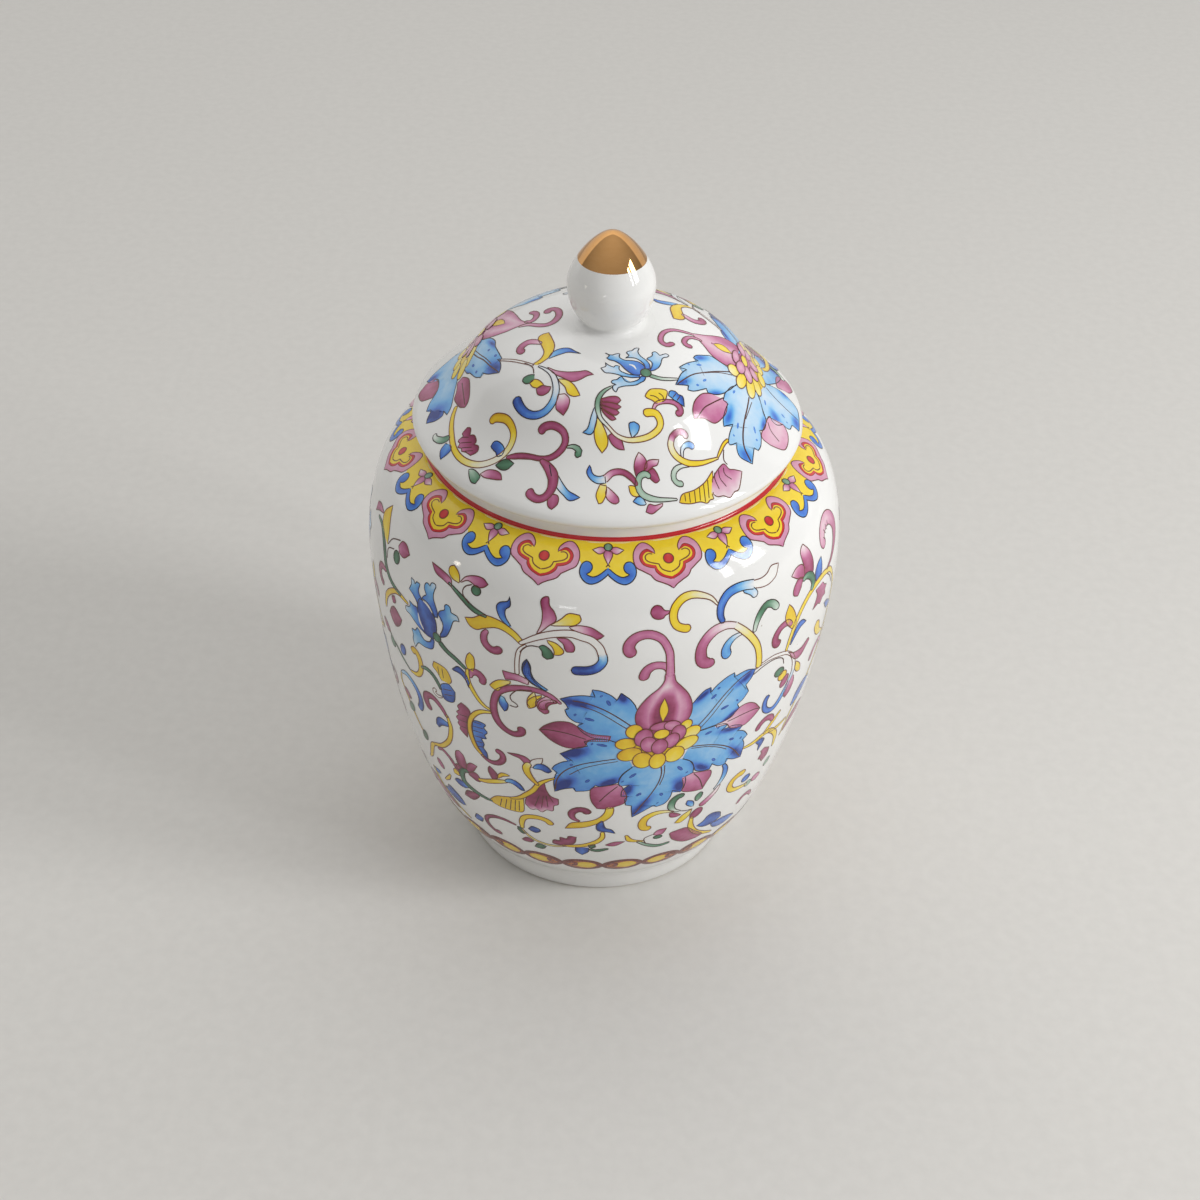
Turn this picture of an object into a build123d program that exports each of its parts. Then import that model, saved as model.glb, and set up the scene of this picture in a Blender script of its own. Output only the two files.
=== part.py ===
"""Lidded porcelain jar in four pieces: body, lid, bud knob and gilt cap. Millimetres, +Z up."""
import os
from math import cos, radians, sin

from build123d import *

# Foot of the jar: a turned ring round a recessed base
foot_r = 30.2
foot_h = 8.2
foot_edge_r = 0.9
foot_edge_turn = 64.0
foot_ring_w = 4.0
base_recess = 3.0
recess_slope = 0.8

# Outside of the jar from the heel over the belly to the root of the neck
heel_r = 33.6
heel_pitch = 50.0
heel_pull = 16.9
heel_cove = 2.8
belly_r = 50.0
belly_h = 70.4
belly_pull_down = 17.0
belly_pull_up = 9.0
shoulder_h = 24.7
shoulder_pitch = 13.0
shoulder_pull = 10.3

# Neck and mouth
neck_r = 37.4
neck_root_w = 0.9
neck_h = 3.7
mouth_edge_r = 0.8
mouth_wall = 4.0
throat_h = 6.4
throat_edge_r = 1.5
throat_turn = 65.0

# Inside of the jar
wall = 3.5
inner_pull_down = 17.0
inner_heel_pull = 15.5
inner_pull_up = 12.0
inner_shoulder_pull = 9.0
floor_t = 4.0
floor_r = 23.0

# Lid: crown, steep dome, waist, shoulder and rolled edge
lid_overhang = 2.5
bead_r = 1.4
bead_turn = 138.0
crown_h = 22.7
crown_pull = 4.2
dome_inset = 11.8
dome_h = 13.5
dome_pitch = 56.0
dome_pull_in = 7.8
dome_pull_out = 7.3
lid_shoulder_pull = 6.0
lid_wall = 4.4
vault_pull_up = 13.0
vault_pull_out = 17.0

# Skirt under the lid that keeps it centred in the mouth
skirt_clear = 1.0
skirt_t = 3.0
skirt_h = 7.5
skirt_edge_r = 0.9

# Bud-shaped knob on a flared foot, set in a shallow seat in the crown
knob_r = 8.8
knob_h = 8.8
knob_foot_r = 8.9
knob_flare_pull = 6.9
knob_neck_pull = 8.3
knob_cheek_pull = 1.5
knob_seat = 1.0

# Gilding on the tip of the knob
gilt_r = 6.8
gilt_h = 5.35
gilt_pitch = 57.6
gilt_pull_down = 2.2
gilt_pull_up = 3.6
gilt_t = 0.4
tip_h = 5.85
tip_pull = 1.95

# Heights above the table
belly_z = foot_h + belly_h
shoulder_z = belly_z + shoulder_h
rim_z = shoulder_z + neck_h
floor_z = base_recess + floor_t
crown_z = rim_z + crown_h
ball_z = crown_z + knob_h
gilt_z = ball_z + gilt_h
tip_z = gilt_z + tip_h
vault_z = crown_z - lid_wall

# Radii that follow from a fit
ring_in_r = foot_r - foot_ring_w
inner_r = belly_r - wall
mouth_r = neck_r - mouth_wall
skirt_r = mouth_r - skirt_clear
skirt_in_r = skirt_r - skirt_t
lid_r = neck_r + lid_overhang
dome_r = lid_r - dome_inset
core_r = gilt_r - gilt_t

# Directions in the half section: outward and up
heel_dir = Vector(cos(radians(heel_pitch)), sin(radians(heel_pitch)))
heel_in = Vector(-sin(radians(heel_pitch)), cos(radians(heel_pitch)))
shoulder_dir = Vector(cos(radians(shoulder_pitch)), -sin(radians(shoulder_pitch)))
dome_dir = Vector(cos(radians(dome_pitch)), -sin(radians(dome_pitch)))
gilt_dir = Vector(-cos(radians(gilt_pitch)), sin(radians(gilt_pitch)))

# Points where two curves of the half section meet
heel = Vector(heel_r, foot_h)
inner_heel = heel + wall * heel_in
neck_root = Vector(neck_r + neck_root_w, shoulder_z)
dome = Vector(dome_r, rim_z + dome_h)
gilt_edge = Vector(gilt_r, gilt_z)
core_edge = Vector(core_r, gilt_z)
core_top = Vector(0, tip_z - gilt_t)

os.makedirs("parts", exist_ok=True)

# Jar body: half section turned about the axis
with BuildPart() as jar_body:
    with BuildSketch(Plane.XZ):
        with BuildLine():
            base = Polyline((0, base_recess), (ring_in_r - recess_slope, base_recess), (ring_in_r, 0))
            stand = Line(base @ 1, (foot_r - foot_edge_r, 0))
            edge = JernArc(stand @ 1, (1, 0), foot_edge_r, foot_edge_turn)
            Bezier(edge @ 1, edge @ 1 + heel_cove * (edge % 1), heel - heel_cove * heel_dir, heel)
            Bezier(
                heel,
                heel + heel_pull * heel_dir,
                (belly_r, belly_z - belly_pull_down),
                (belly_r, belly_z),
            )
            Bezier(
                (belly_r, belly_z),
                (belly_r, belly_z + belly_pull_up),
                neck_root + shoulder_pull * shoulder_dir,
                neck_root,
            )
            Bezier(neck_root, (neck_r, shoulder_z), (neck_r, shoulder_z + neck_root_w))
            neck = Line((neck_r, shoulder_z + neck_root_w), (neck_r, rim_z - mouth_edge_r))
            lip_out = JernArc(neck @ 1, (0, 1), mouth_edge_r, 90)
            rim = Line(lip_out @ 1, (mouth_r + mouth_edge_r, rim_z))
            lip_in = JernArc(rim @ 1, (-1, 0), mouth_edge_r, 90)
            throat = Line(lip_in @ 1, (mouth_r, rim_z - throat_h))
            turn = JernArc(throat @ 1, (0, -1), throat_edge_r, throat_turn)
            Bezier(
                turn @ 1,
                turn @ 1 + inner_shoulder_pull * (turn % 1),
                (inner_r, belly_z + inner_pull_up),
                (inner_r, belly_z),
            )
            Bezier(
                (inner_r, belly_z),
                (inner_r, belly_z - inner_pull_down),
                inner_heel + inner_heel_pull * heel_dir,
                inner_heel,
            )
            dish_end = Vector(floor_r, floor_z)
            dish = (inner_heel - dish_end).length / 3
            Bezier(inner_heel, inner_heel - dish * heel_dir, dish_end + Vector(dish, 0), dish_end)
            Polyline(dish_end, (0, floor_z), (0, base_recess))
        make_face()
    revolve(axis=Axis.Z)
jar_body.part.label = "jar_body"
export_step(jar_body.part, "parts/jar_body.step")

# Lid: double-curved dome with a rolled edge, flat seat and centring skirt
with BuildPart() as lid:
    with BuildSketch(Plane.XZ):
        with BuildLine():
            seat = Polyline(
                (0, crown_z - knob_seat),
                (knob_foot_r, crown_z - knob_seat),
                (knob_foot_r, crown_z),
            )
            bead = CenterArc((lid_r - bead_r, rim_z + bead_r), bead_r, bead_turn - 90, -bead_turn)
            Bezier(seat @ 1, seat @ 1 + Vector(crown_pull, 0), dome - dome_pull_in * dome_dir, dome)
            Bezier(dome, dome + dome_pull_out * dome_dir, bead @ 0 - lid_shoulder_pull * (bead % 0), bead @ 0)
            ledge = Line(bead @ 1, (skirt_r, rim_z))
            side = Line(ledge @ 1, (skirt_r, rim_z - skirt_h + skirt_edge_r))
            edge_out = JernArc(side @ 1, (0, -1), skirt_edge_r, -90)
            tip = Line(edge_out @ 1, (skirt_in_r + skirt_edge_r, rim_z - skirt_h))
            edge_in = JernArc(tip @ 1, (-1, 0), skirt_edge_r, -90)
            inside = Line(edge_in @ 1, (skirt_in_r, rim_z))
            vault = Bezier(
                inside @ 1,
                (skirt_in_r, rim_z + vault_pull_up),
                (vault_pull_out, vault_z),
                (0, vault_z),
            )
            Line(vault @ 1, seat @ 0)
        make_face()
    revolve(axis=Axis.Z)
lid.part.label = "lid"
export_step(lid.part, "parts/lid.step")

# Knob: bud on a flared foot, cut back under the gilding
with BuildPart() as lid_knob:
    with BuildSketch(Plane.XZ):
        with BuildLine():
            foot = Polyline(
                (0, crown_z - knob_seat),
                (knob_foot_r, crown_z - knob_seat),
                (knob_foot_r, crown_z),
            )
            Bezier(
                foot @ 1,
                (knob_foot_r - knob_flare_pull, crown_z),
                (knob_r, ball_z - knob_neck_pull),
                (knob_r, ball_z),
            )
            Bezier(
                (knob_r, ball_z),
                (knob_r, ball_z + knob_cheek_pull),
                gilt_edge - gilt_pull_down * gilt_dir,
                gilt_edge,
            )
            Line(gilt_edge, core_edge)
            Bezier(core_edge, core_edge + gilt_pull_up * gilt_dir, core_top + Vector(tip_pull, 0), core_top)
            Line(core_top, foot @ 0)
        make_face()
    revolve(axis=Axis.Z)
lid_knob.part.label = "lid_knob"
export_step(lid_knob.part, "parts/lid_knob.step")

# Gilding: thin cap that completes the tip of the bud
with BuildPart() as gilt_cap:
    with BuildSketch(Plane.XZ):
        with BuildLine():
            Bezier(core_edge, core_edge + gilt_pull_up * gilt_dir, core_top + Vector(tip_pull, 0), core_top)
            Line(core_top, (0, tip_z))
            Bezier((0, tip_z), (tip_pull, tip_z), gilt_edge + gilt_pull_up * gilt_dir, gilt_edge)
            Line(gilt_edge, core_edge)
        make_face()
    revolve(axis=Axis.Z)
gilt_cap.part.label = "gilt_cap"
export_step(gilt_cap.part, "parts/gilt_cap.step")
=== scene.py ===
from math import radians

import bpy
import numpy as np
from mathutils import Matrix


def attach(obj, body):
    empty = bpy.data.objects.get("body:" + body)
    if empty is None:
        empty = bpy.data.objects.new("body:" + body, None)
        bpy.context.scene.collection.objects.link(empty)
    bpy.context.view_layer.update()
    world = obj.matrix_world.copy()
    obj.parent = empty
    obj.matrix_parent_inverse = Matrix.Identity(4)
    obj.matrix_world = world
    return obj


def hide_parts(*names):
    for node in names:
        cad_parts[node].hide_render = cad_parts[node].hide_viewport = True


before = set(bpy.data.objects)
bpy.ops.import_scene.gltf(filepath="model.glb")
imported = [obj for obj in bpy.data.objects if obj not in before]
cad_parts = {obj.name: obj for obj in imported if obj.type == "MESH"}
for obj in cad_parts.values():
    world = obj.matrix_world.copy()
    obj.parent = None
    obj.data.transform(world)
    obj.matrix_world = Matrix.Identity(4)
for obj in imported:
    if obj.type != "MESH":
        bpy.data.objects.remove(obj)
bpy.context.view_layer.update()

# The surfaces are worked out in millimetres and go into the meshes in metres.
MM = 0.001
PER_MM = 1 / MM
# Turned pieces: faces round the axis, the step between rings, the fewest rings in a run, and the gap beside
# a corner
TURNS, RING_STEP, MIN_RINGS, CORNER_GAP = 288, 1.12, 9, 0.03
CURVE_POINTS, ARC_POINTS = 161, 25
# The glaze is drawn this far inside the solid, so that raised enamel stays within it.
GLAZE_INSET = 0.2


def direction(pitch):
    """Unit vector at an angle in degrees: cosine outward, sine up."""
    return np.array([np.cos(radians(pitch)), np.sin(radians(pitch))])


def bezier(*points):
    """Cubic Bezier through the half section: the four points weighted by Bernstein terms of t."""
    a, b, c, d = np.array(points, float)
    t = np.linspace(0, 1, CURVE_POINTS)[:, None]
    return a * (1 - t) ** 3 + 3 * b * t * (1 - t) ** 2 + 3 * c * t ** 2 * (1 - t) + d * t ** 3


def arc(centre, radius, start, end):
    """Circular arc in the half section: centre plus radius times (cosine, sine) of the angle."""
    turn = np.radians(np.linspace(start, end, ARC_POINTS))
    return np.array(centre, float) + radius * np.column_stack([np.cos(turn), np.sin(turn)])


def lengths(line):
    """Running length along a line of points."""
    step = np.hypot(*np.diff(line, axis=0).T)
    return np.concatenate([[0], np.cumsum(step)])


def section(*runs):
    """Half section as one line: the runs end to end, at even steps in each, with a ring close to both sides
    of every corner to keep it crisp."""
    out = []
    for run in runs:
        run = np.array(run, float)
        along = lengths(run)
        count = max(MIN_RINGS, int(along[-1] / RING_STEP) + 1)
        even = along[-1] * np.linspace(0, 1, count)
        near = min(CORNER_GAP, along[-1] / 4)
        even = np.unique(np.concatenate([even, [near, along[-1] - near]]))
        line = np.column_stack([np.interp(even, along, run[:, k]) for k in (0, 1)])
        out.append(line if not out else line[1:])
    return np.vstack(out)


# Half sections of the four pieces, with the sizes of the solids: radii, heights, points (r, z) and slopes
# in degrees. Beside a slope, a bare number is the pull of a Bezier handle in millimetres.
FOOT_R, FOOT_EDGE, FOOT_TURN = 30.2, 0.9, 64.0
RING_IN, RING_DRAFT, BASE_Z = 26.2, 0.8, 3.0
HEEL, HEEL_PITCH = np.array([33.6, 8.2]), direction(50)
BELLY_R, BELLY_Z = 50.0, 78.6
NECK_ROOT, SHOULDER_PITCH = np.array([38.3, 103.3]), direction(-13)
NECK_R, NECK_Z, MOUTH_R, RIM_Z, LIP = 37.4, 104.2, 33.4, 107.0, 0.8
MOUTH_DEPTH, MOUTH_TURN = 6.4, 1.5
BELLY_IN, THICK, DISH = 46.5, 3.5, np.array([23.0, 7.0])
LID_R, BEAD, BEAD_PITCH, VAULT_Z = 39.9, 1.4, 48, 125.3
DOME, DOME_PITCH = np.array([28.1, 120.5]), direction(-56)
CROWN = np.array([8.9, 129.7])
SKIRT_R, SKIRT_IN, SKIRT_Z, SKIRT_EDGE = 32.4, 29.4, 99.5, 0.9
KNOB_R, BALL_Z, SEAT_Z = 8.8, 138.5, 128.7
GILT_EDGE, GILT_PITCH, TIP_Z, GILT_T = np.array([6.8, 143.85]), direction(122.4), 149.7, 0.4

foot_arc = arc((FOOT_R - FOOT_EDGE, FOOT_EDGE), FOOT_EDGE, -90, FOOT_TURN - 90)
cove = bezier(foot_arc[-1], foot_arc[-1] + 2.8 * direction(FOOT_TURN), HEEL - 2.8 * HEEL_PITCH, HEEL)
lower = bezier(HEEL, HEEL + 16.9 * HEEL_PITCH, (BELLY_R, BELLY_Z - 17), (BELLY_R, BELLY_Z))
upper = bezier((BELLY_R, BELLY_Z), (BELLY_R, BELLY_Z + 9), NECK_ROOT + 10.3 * SHOULDER_PITCH, NECK_ROOT)
outside = np.vstack([cove, lower[1:], upper[1:]])
outside[:, 0] -= GLAZE_INSET * np.sin(np.pi * np.linspace(0, 1, len(outside))) ** 2
neck_fillet = bezier(NECK_ROOT, (NECK_R + 0.3, 103.3), (NECK_R, 103.6), (NECK_R, NECK_Z))

bead_top = arc((LID_R - BEAD, RIM_Z + BEAD), BEAD, BEAD_PITCH, -90)
bead_way = direction(BEAD_PITCH - 90)
dome_in = bezier(CROWN, CROWN + [4.2, 0], DOME - 7.8 * DOME_PITCH, DOME)
dome_out = bezier(DOME, DOME + 7.3 * DOME_PITCH, bead_top[0] - 6 * bead_way, bead_top[0])
cover = np.vstack([dome_in, dome_out[1:], bead_top[1:]])


def jar_section():
    """Base, foot ring, outside, mouth and inside of the jar, from the axis under the base to the axis on
    the floor."""
    turn = arc((MOUTH_R + MOUTH_TURN, RIM_Z - MOUTH_DEPTH), MOUTH_TURN, 180, 245)
    inner_heel = HEEL + THICK * direction(140)
    pull = np.hypot(*(inner_heel - DISH)) / 3
    return section(
        [(0, BASE_Z), (RING_IN - RING_DRAFT, BASE_Z)],
        [(RING_IN - RING_DRAFT, BASE_Z), (RING_IN, 0)],
        [(RING_IN, 0), (FOOT_R - FOOT_EDGE, 0)],
        foot_arc,
        outside,
        neck_fillet,
        [(NECK_R, NECK_Z), (NECK_R, RIM_Z - LIP)],
        arc((NECK_R - LIP, RIM_Z - LIP), LIP, 0, 90),
        [(NECK_R - LIP, RIM_Z), (MOUTH_R + LIP, RIM_Z)],
        arc((MOUTH_R + LIP, RIM_Z - LIP), LIP, 90, 180),
        [(MOUTH_R, RIM_Z - LIP), (MOUTH_R, RIM_Z - MOUTH_DEPTH)],
        turn,
        bezier(turn[-1], turn[-1] + 9 * direction(-25), (BELLY_IN, BELLY_Z + 12), (BELLY_IN, BELLY_Z)),
        bezier((BELLY_IN, BELLY_Z), (BELLY_IN, BELLY_Z - 17), inner_heel + 15.5 * HEEL_PITCH, inner_heel),
        bezier(inner_heel, inner_heel - pull * HEEL_PITCH, DISH + [pull, 0], DISH),
        [DISH, (0, DISH[1])],
    )


def lid_section():
    """Vault, skirt, seat and cover of the lid, from the axis under the vault to the axis in the knob's
    seat."""
    return section(
        bezier((0, VAULT_Z), (17, VAULT_Z), (SKIRT_IN, 120), (SKIRT_IN, RIM_Z)),
        [(SKIRT_IN, RIM_Z), (SKIRT_IN, SKIRT_Z + SKIRT_EDGE)],
        arc((SKIRT_IN + SKIRT_EDGE, SKIRT_Z + SKIRT_EDGE), SKIRT_EDGE, 180, 270),
        [(SKIRT_IN + SKIRT_EDGE, SKIRT_Z), (SKIRT_R - SKIRT_EDGE, SKIRT_Z)],
        arc((SKIRT_R - SKIRT_EDGE, SKIRT_Z + SKIRT_EDGE), SKIRT_EDGE, -90, 0),
        [(SKIRT_R, SKIRT_Z + SKIRT_EDGE), (SKIRT_R, RIM_Z)],
        [(SKIRT_R, RIM_Z), (LID_R - BEAD, RIM_Z)],
        cover[::-1],
        [CROWN, (CROWN[0], SEAT_Z)],
        [(CROWN[0], SEAT_Z), (0, SEAT_Z)],
    )


def gilt_curve(edge, top):
    """Tip of the bud from an edge point up to the axis."""
    return bezier(edge, edge + 3.6 * GILT_PITCH, (1.95, top), (0, top))


def knob_section():
    """Flared foot and bud of the knob, cut back under the gilding."""
    core = GILT_EDGE - [GILT_T, 0]
    return section(
        [(0, SEAT_Z), (CROWN[0], SEAT_Z)],
        [(CROWN[0], SEAT_Z), CROWN],
        bezier(CROWN, (2.0, CROWN[1]), (KNOB_R, 130.2), (KNOB_R, BALL_Z)),
        bezier((KNOB_R, BALL_Z), (KNOB_R, BALL_Z + 1.5), GILT_EDGE - 2.2 * GILT_PITCH, GILT_EDGE),
        [GILT_EDGE, core],
        gilt_curve(core, TIP_Z - GILT_T),
    )


def gilt_section():
    """Thin cap of gold: the inside from the axis to the edge, then the outside back to the axis."""
    core = GILT_EDGE - [GILT_T, 0]
    return section(gilt_curve(core, TIP_Z - GILT_T)[::-1], [core, GILT_EDGE], gilt_curve(GILT_EDGE, TIP_Z))


def mesh_piece(name, points, quads, material, fields=None, uv=None):
    """Object from arrays: points in millimetres, four corners a face, one number a point for each named
    field, and one (u, v) pair a face corner. A face whose last two corners are the same is a triangle."""
    quads = np.asarray(quads)
    corners = np.where(quads[:, 2] == quads[:, 3], 3, 4)
    keep = np.arange(4)[None, :] < corners[:, None]
    mesh = bpy.data.meshes.new(name)
    mesh.vertices.add(len(points))
    mesh.vertices.foreach_set("co", (np.asarray(points) * MM).astype(np.float32).ravel())
    mesh.loops.add(int(corners.sum()))
    mesh.loops.foreach_set("vertex_index", quads[keep].astype(np.int32))
    mesh.polygons.add(len(quads))
    mesh.polygons.foreach_set("loop_start", (np.cumsum(corners) - corners).astype(np.int32))
    mesh.polygons.foreach_set("use_smooth", np.ones(len(quads), bool))
    mesh.update(calc_edges=True)
    if uv is not None:
        layer = mesh.uv_layers.new(name="OFBake")
        layer.data.foreach_set("uv", uv[keep].astype(np.float32).ravel())
    for field, values in (fields or {}).items():
        mesh.attributes.new(field, "FLOAT", "POINT").data.foreach_set("value", np.asarray(values, np.float32))
    mesh.validate()
    mesh.materials.append(material)
    piece = bpy.data.objects.new(name, mesh)
    bpy.context.scene.collection.objects.link(piece)
    return piece


def turned(name, line, material):
    """Solid of revolution: each point (r, z) of the half section goes to (r sin a, -r cos a, z) for even
    turns a. The two ends lie on the axis and become one point each."""
    rings = line[1:-1]
    a = np.arange(TURNS) * 2 * np.pi / TURNS
    ring = np.stack([rings[:, :1] * np.sin(a), -rings[:, :1] * np.cos(a),
                     np.repeat(rings[:, 1:], TURNS, 1)], -1)
    points = np.vstack([ring.reshape(-1, 3), [[0, 0, line[0, 1]], [0, 0, line[-1, 1]]]])
    i, j = np.meshgrid(np.arange(len(rings) - 1), np.arange(TURNS), indexing="ij")
    k = (j + 1) % TURNS
    sides = np.stack([i * TURNS + j, i * TURNS + k, (i + 1) * TURNS + k, (i + 1) * TURNS + j],
                     -1).reshape(-1, 4)
    v = lengths(line) / lengths(line)[-1]
    u0, u1, v0, v1 = j / TURNS, (j + 1) / TURNS, v[1 + i], v[2 + i]
    quads, uv = [sides], [np.stack([u0, v0, u1, v0, u1, v1, u0, v1], -1).reshape(-1, 4, 2)]
    j = np.arange(TURNS)
    k = (j + 1) % TURNS
    u0, u1, mid = j / TURNS, (j + 1) / TURNS, (j + 0.5) / TURNS
    end = (len(rings) - 1) * TURNS
    for pole, one, two, u_one, u_two, v_ring, v_pole in (
        (len(points) - 2, k, j, u1, u0, v[1], 0),
        (len(points) - 1, end + j, end + k, u0, u1, v[-2], 1),
    ):
        tip, low, high = (np.full(TURNS, value) for value in (pole, v_ring, v_pole))
        quads.append(np.column_stack([one, two, tip, tip]))
        uv.append(np.stack([u_one, low, u_two, low, mid, high, mid, high], -1).reshape(-1, 4, 2))
    return mesh_piece(name, points, np.vstack(quads), material, uv=np.vstack(uv))


def ground(line, start, polar):
    """Chart of a turned surface for painting: s is the length along its half section, counted from start,
    with the radius, the height and the outward normal at each s, and the patches of enamel laid on it so
    far."""
    s = start + lengths(line)
    way = np.gradient(line, s, axis=0)
    normal = np.column_stack([-way[:, 1], way[:, 0]])
    normal *= np.sign(normal[len(s) // 2, 0]) / np.hypot(*normal.T)[:, None]
    (r, z), (nr, nz) = line.T, normal.T
    return {"s": s, "r": r, "z": z, "nr": nr, "nz": nz, "polar": polar, "paint": {}}


def on_ground(g, q, lift):
    """Chart point to space: the section at s, raised along its normal and turned by the angle. On the jar q
    is (degrees from the front, s); on the lid it is a flat map round the knob, x to the right and y to the
    front."""
    if g["polar"]:
        angle, s = np.arctan2(q[..., 0], q[..., 1]), np.hypot(q[..., 0], q[..., 1])
    else:
        angle, s = np.radians(q[..., 0]), q[..., 1]
    r, z, nr, nz = (np.interp(s, g["s"], g[key]) for key in ("r", "z", "nr", "nz"))
    r, z = r + lift * nr, z + lift * nz
    return np.stack([r * np.sin(angle), -r * np.cos(angle), z], -1)


def chart_scale(g, q):
    """Millimetres to one unit of each chart axis, at chart points q."""
    if g["polar"]:
        return np.ones_like(q)
    return np.stack([np.radians(np.interp(q[..., 1], g["s"], g["r"])), np.ones(q.shape[:-1])], -1)


# Brush, in millimetres: the step along a stroke, the half width of a contour, the height of the lowest
# layer, the step from layer to layer, and the least half width of a tip and length of a rounded end
STEP, LINE_HALF = 0.45, 0.11
LIFT, LAYER = 0.03, 0.004
FINE_TIP, FINE_END = 0.01, 0.05
# Counts of points: the fewest along a stroke, those in a span of a line and across a stroke, the most
# across a leaf, and those on half a dot
MIN_STEPS, SPAN_STEPS, ACROSS, MOST_ACROSS, HALF_DOT = 9, 10, 5, 26, 15
# How much a stroke's points gather at its ends, how many layers a contour lies over its field, how much
# darker the rim of a field is than its middle, and how much a pool of colour adds to the shade
GATHER, LINE_OVER, RIM_SHADE, POOL_DEPTH = 0.6, 1.5, 0.16, 0.55
# Shade of the contour round each pigment
LINE_TONE = {"blue": 0.95, "green": 0.75, "rose": 0.4, "yellow": 0.3, "white": 0.35, "red": 0.4, "iron": 0.6}


def smooth_run(p):
    """Catmull-Rom line through the points: each span blends its four nearest points by a cubic of t."""
    if len(p) < 3:
        return p
    q = np.vstack([2 * p[0] - p[1], p, 2 * p[-1] - p[-2]])
    t = (np.arange(SPAN_STEPS) / SPAN_STEPS)[:, None]
    a, b, c, d = (q[k:len(q) - 3 + k, None] for k in range(4))
    spans = (b + (c - a) * t / 2 + (2 * a - 5 * b + 4 * c - d) * t ** 2 / 2
             + (3 * b - a - 3 * c + d) * t ** 3 / 2)
    return np.vstack([spans.reshape(-1, 2), p[-1:]])


def brushed(g, flat, count=None, gather=0.0):
    """Points along a brush line through x, y, x, y ..., at even steps of length, or gathered towards both
    ends. A point given twice is a sharp corner and keeps its place."""
    p = np.reshape(np.array(flat, float), (-1, 2))
    cut = np.flatnonzero(np.all(p[1:] == p[:-1], axis=1)) + 1
    runs = [smooth_run(run) for run in np.split(p, cut)]
    line = np.vstack(runs)
    along = lengths(line * chart_scale(g, line.mean(0)))
    corners = along[np.cumsum([len(run) for run in runs])[:-1] - 1]
    count = count or max(MIN_STEPS, int(along[-1] / STEP) + 2)
    x = np.linspace(0, 1, count)
    even = along[-1] * (x - gather * np.sin(2 * np.pi * x) / (2 * np.pi))
    for corner in corners:
        even[np.argmin(np.abs(even - corner))] = corner
    return np.column_stack([np.interp(even, along, line[:, k]) for k in (0, 1)]), even / along[-1], along[-1]


def sideways(g, line, closed=False):
    """Unit normal of a chart line, in chart units to one millimetre."""
    scale = chart_scale(g, line)
    if closed:
        way = (np.roll(line, -1, 0) - np.roll(line, 1, 0)) * scale
    else:
        way = np.gradient(line, axis=0) * scale
    way /= np.maximum(np.hypot(*way.T), 1e-9)[:, None]
    return np.column_stack([-way[:, 1], way[:, 0]]) / scale


def lay(g, pigment, grid, shade, layer, closed=False):
    """Adds a patch of enamel: a grid of chart points, laid on the ground at the height of its layer."""
    rows, across = grid.shape[:2]
    around = rows if closed else rows - 1
    i, j = np.meshgrid(np.arange(around), np.arange(across - 1), indexing="ij")
    k = (i + 1) % rows
    quads = np.stack([i * across + j, k * across + j, k * across + j + 1, i * across + j + 1],
                     -1).reshape(-1, 4)
    uv = np.stack([i, j, i + 1, j, i + 1, j + 1, i, j + 1], -1).reshape(-1, 4, 2) / [around, across - 1]
    points = on_ground(g, grid, LIFT + LAYER * layer).reshape(-1, 3)
    a, b, c, d = (points[quads[:, m]] for m in range(4))
    face = np.cross(c - a, d - b)
    out = on_ground(g, grid, 1.0).reshape(-1, 3) - points
    if (face * out[quads[:, 0]]).sum() < 0:
        quads, uv = quads[:, ::-1], uv[:, ::-1]
    shade = np.broadcast_to(shade, (rows, across)).reshape(-1)
    g["paint"].setdefault(pigment, []).append((points, quads, shade, uv))


def ramp(u, stops):
    """Values at u of stops spread evenly from 0 to 1."""
    return np.interp(u, np.linspace(0, 1, len(stops)), stops)


def edge_line(g, path, pigment, layer, closed=True):
    """Contour: a thin ribbon of even width on both sides of a line, brown or blue-black to suit the
    pigment."""
    side = sideways(g, path, closed) * LINE_HALF
    lay(g, "line", np.stack([path - side, path + side], 1), LINE_TONE[pigment], layer + LINE_OVER, closed)


def stroke(g, pigment, flat, half, shades, layer=0, contour=True, joined=False):
    """Brush stroke: half widths and shades spread along a spine, darker at its rims, with rounded ends. A
    joined stroke has a square first end without a contour, so that another can carry on from it."""
    spine, u, size = brushed(g, flat, gather=GATHER)
    width = ramp(u, half)
    ends = [((1 - u) * size, width[-1])] + [(u * size, width[0])] * (not joined)
    for reach, end in ends:
        width = width * np.sqrt(1 - (1 - np.clip(reach / max(end, FINE_END), 0, 1)) ** 2)
    side = sideways(g, spine) * np.maximum(width, FINE_TIP)[:, None]
    across = np.linspace(-1, 1, ACROSS)
    grid = spine[:, None] + side[:, None] * across[None, :, None]
    lay(g, pigment, grid, ramp(u, shades)[:, None] + RIM_SHADE * (np.abs(across) - 0.5)[None], layer)
    if contour:
        back = grid[-2::-1, -1] if joined else grid[-2:0:-1, -1]
        edge_line(g, np.vstack([grid[:, 0], back]), pigment, layer, not joined)


def soaked(g, grid, pools):
    """Extra shade where the colour pooled: each pool is an ellipse that falls off as exp(-d squared)."""
    extra = np.zeros(grid.shape[:2])
    for x, y, wide, tall, turn in pools:
        off = (grid - [x, y]) * chart_scale(g, np.array([x, y]))
        c, s = direction(turn)
        extra += POOL_DEPTH * np.exp(-((off @ [c, s]) / wide) ** 2 - ((off @ [-s, c]) / tall) ** 2)
    return extra


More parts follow.
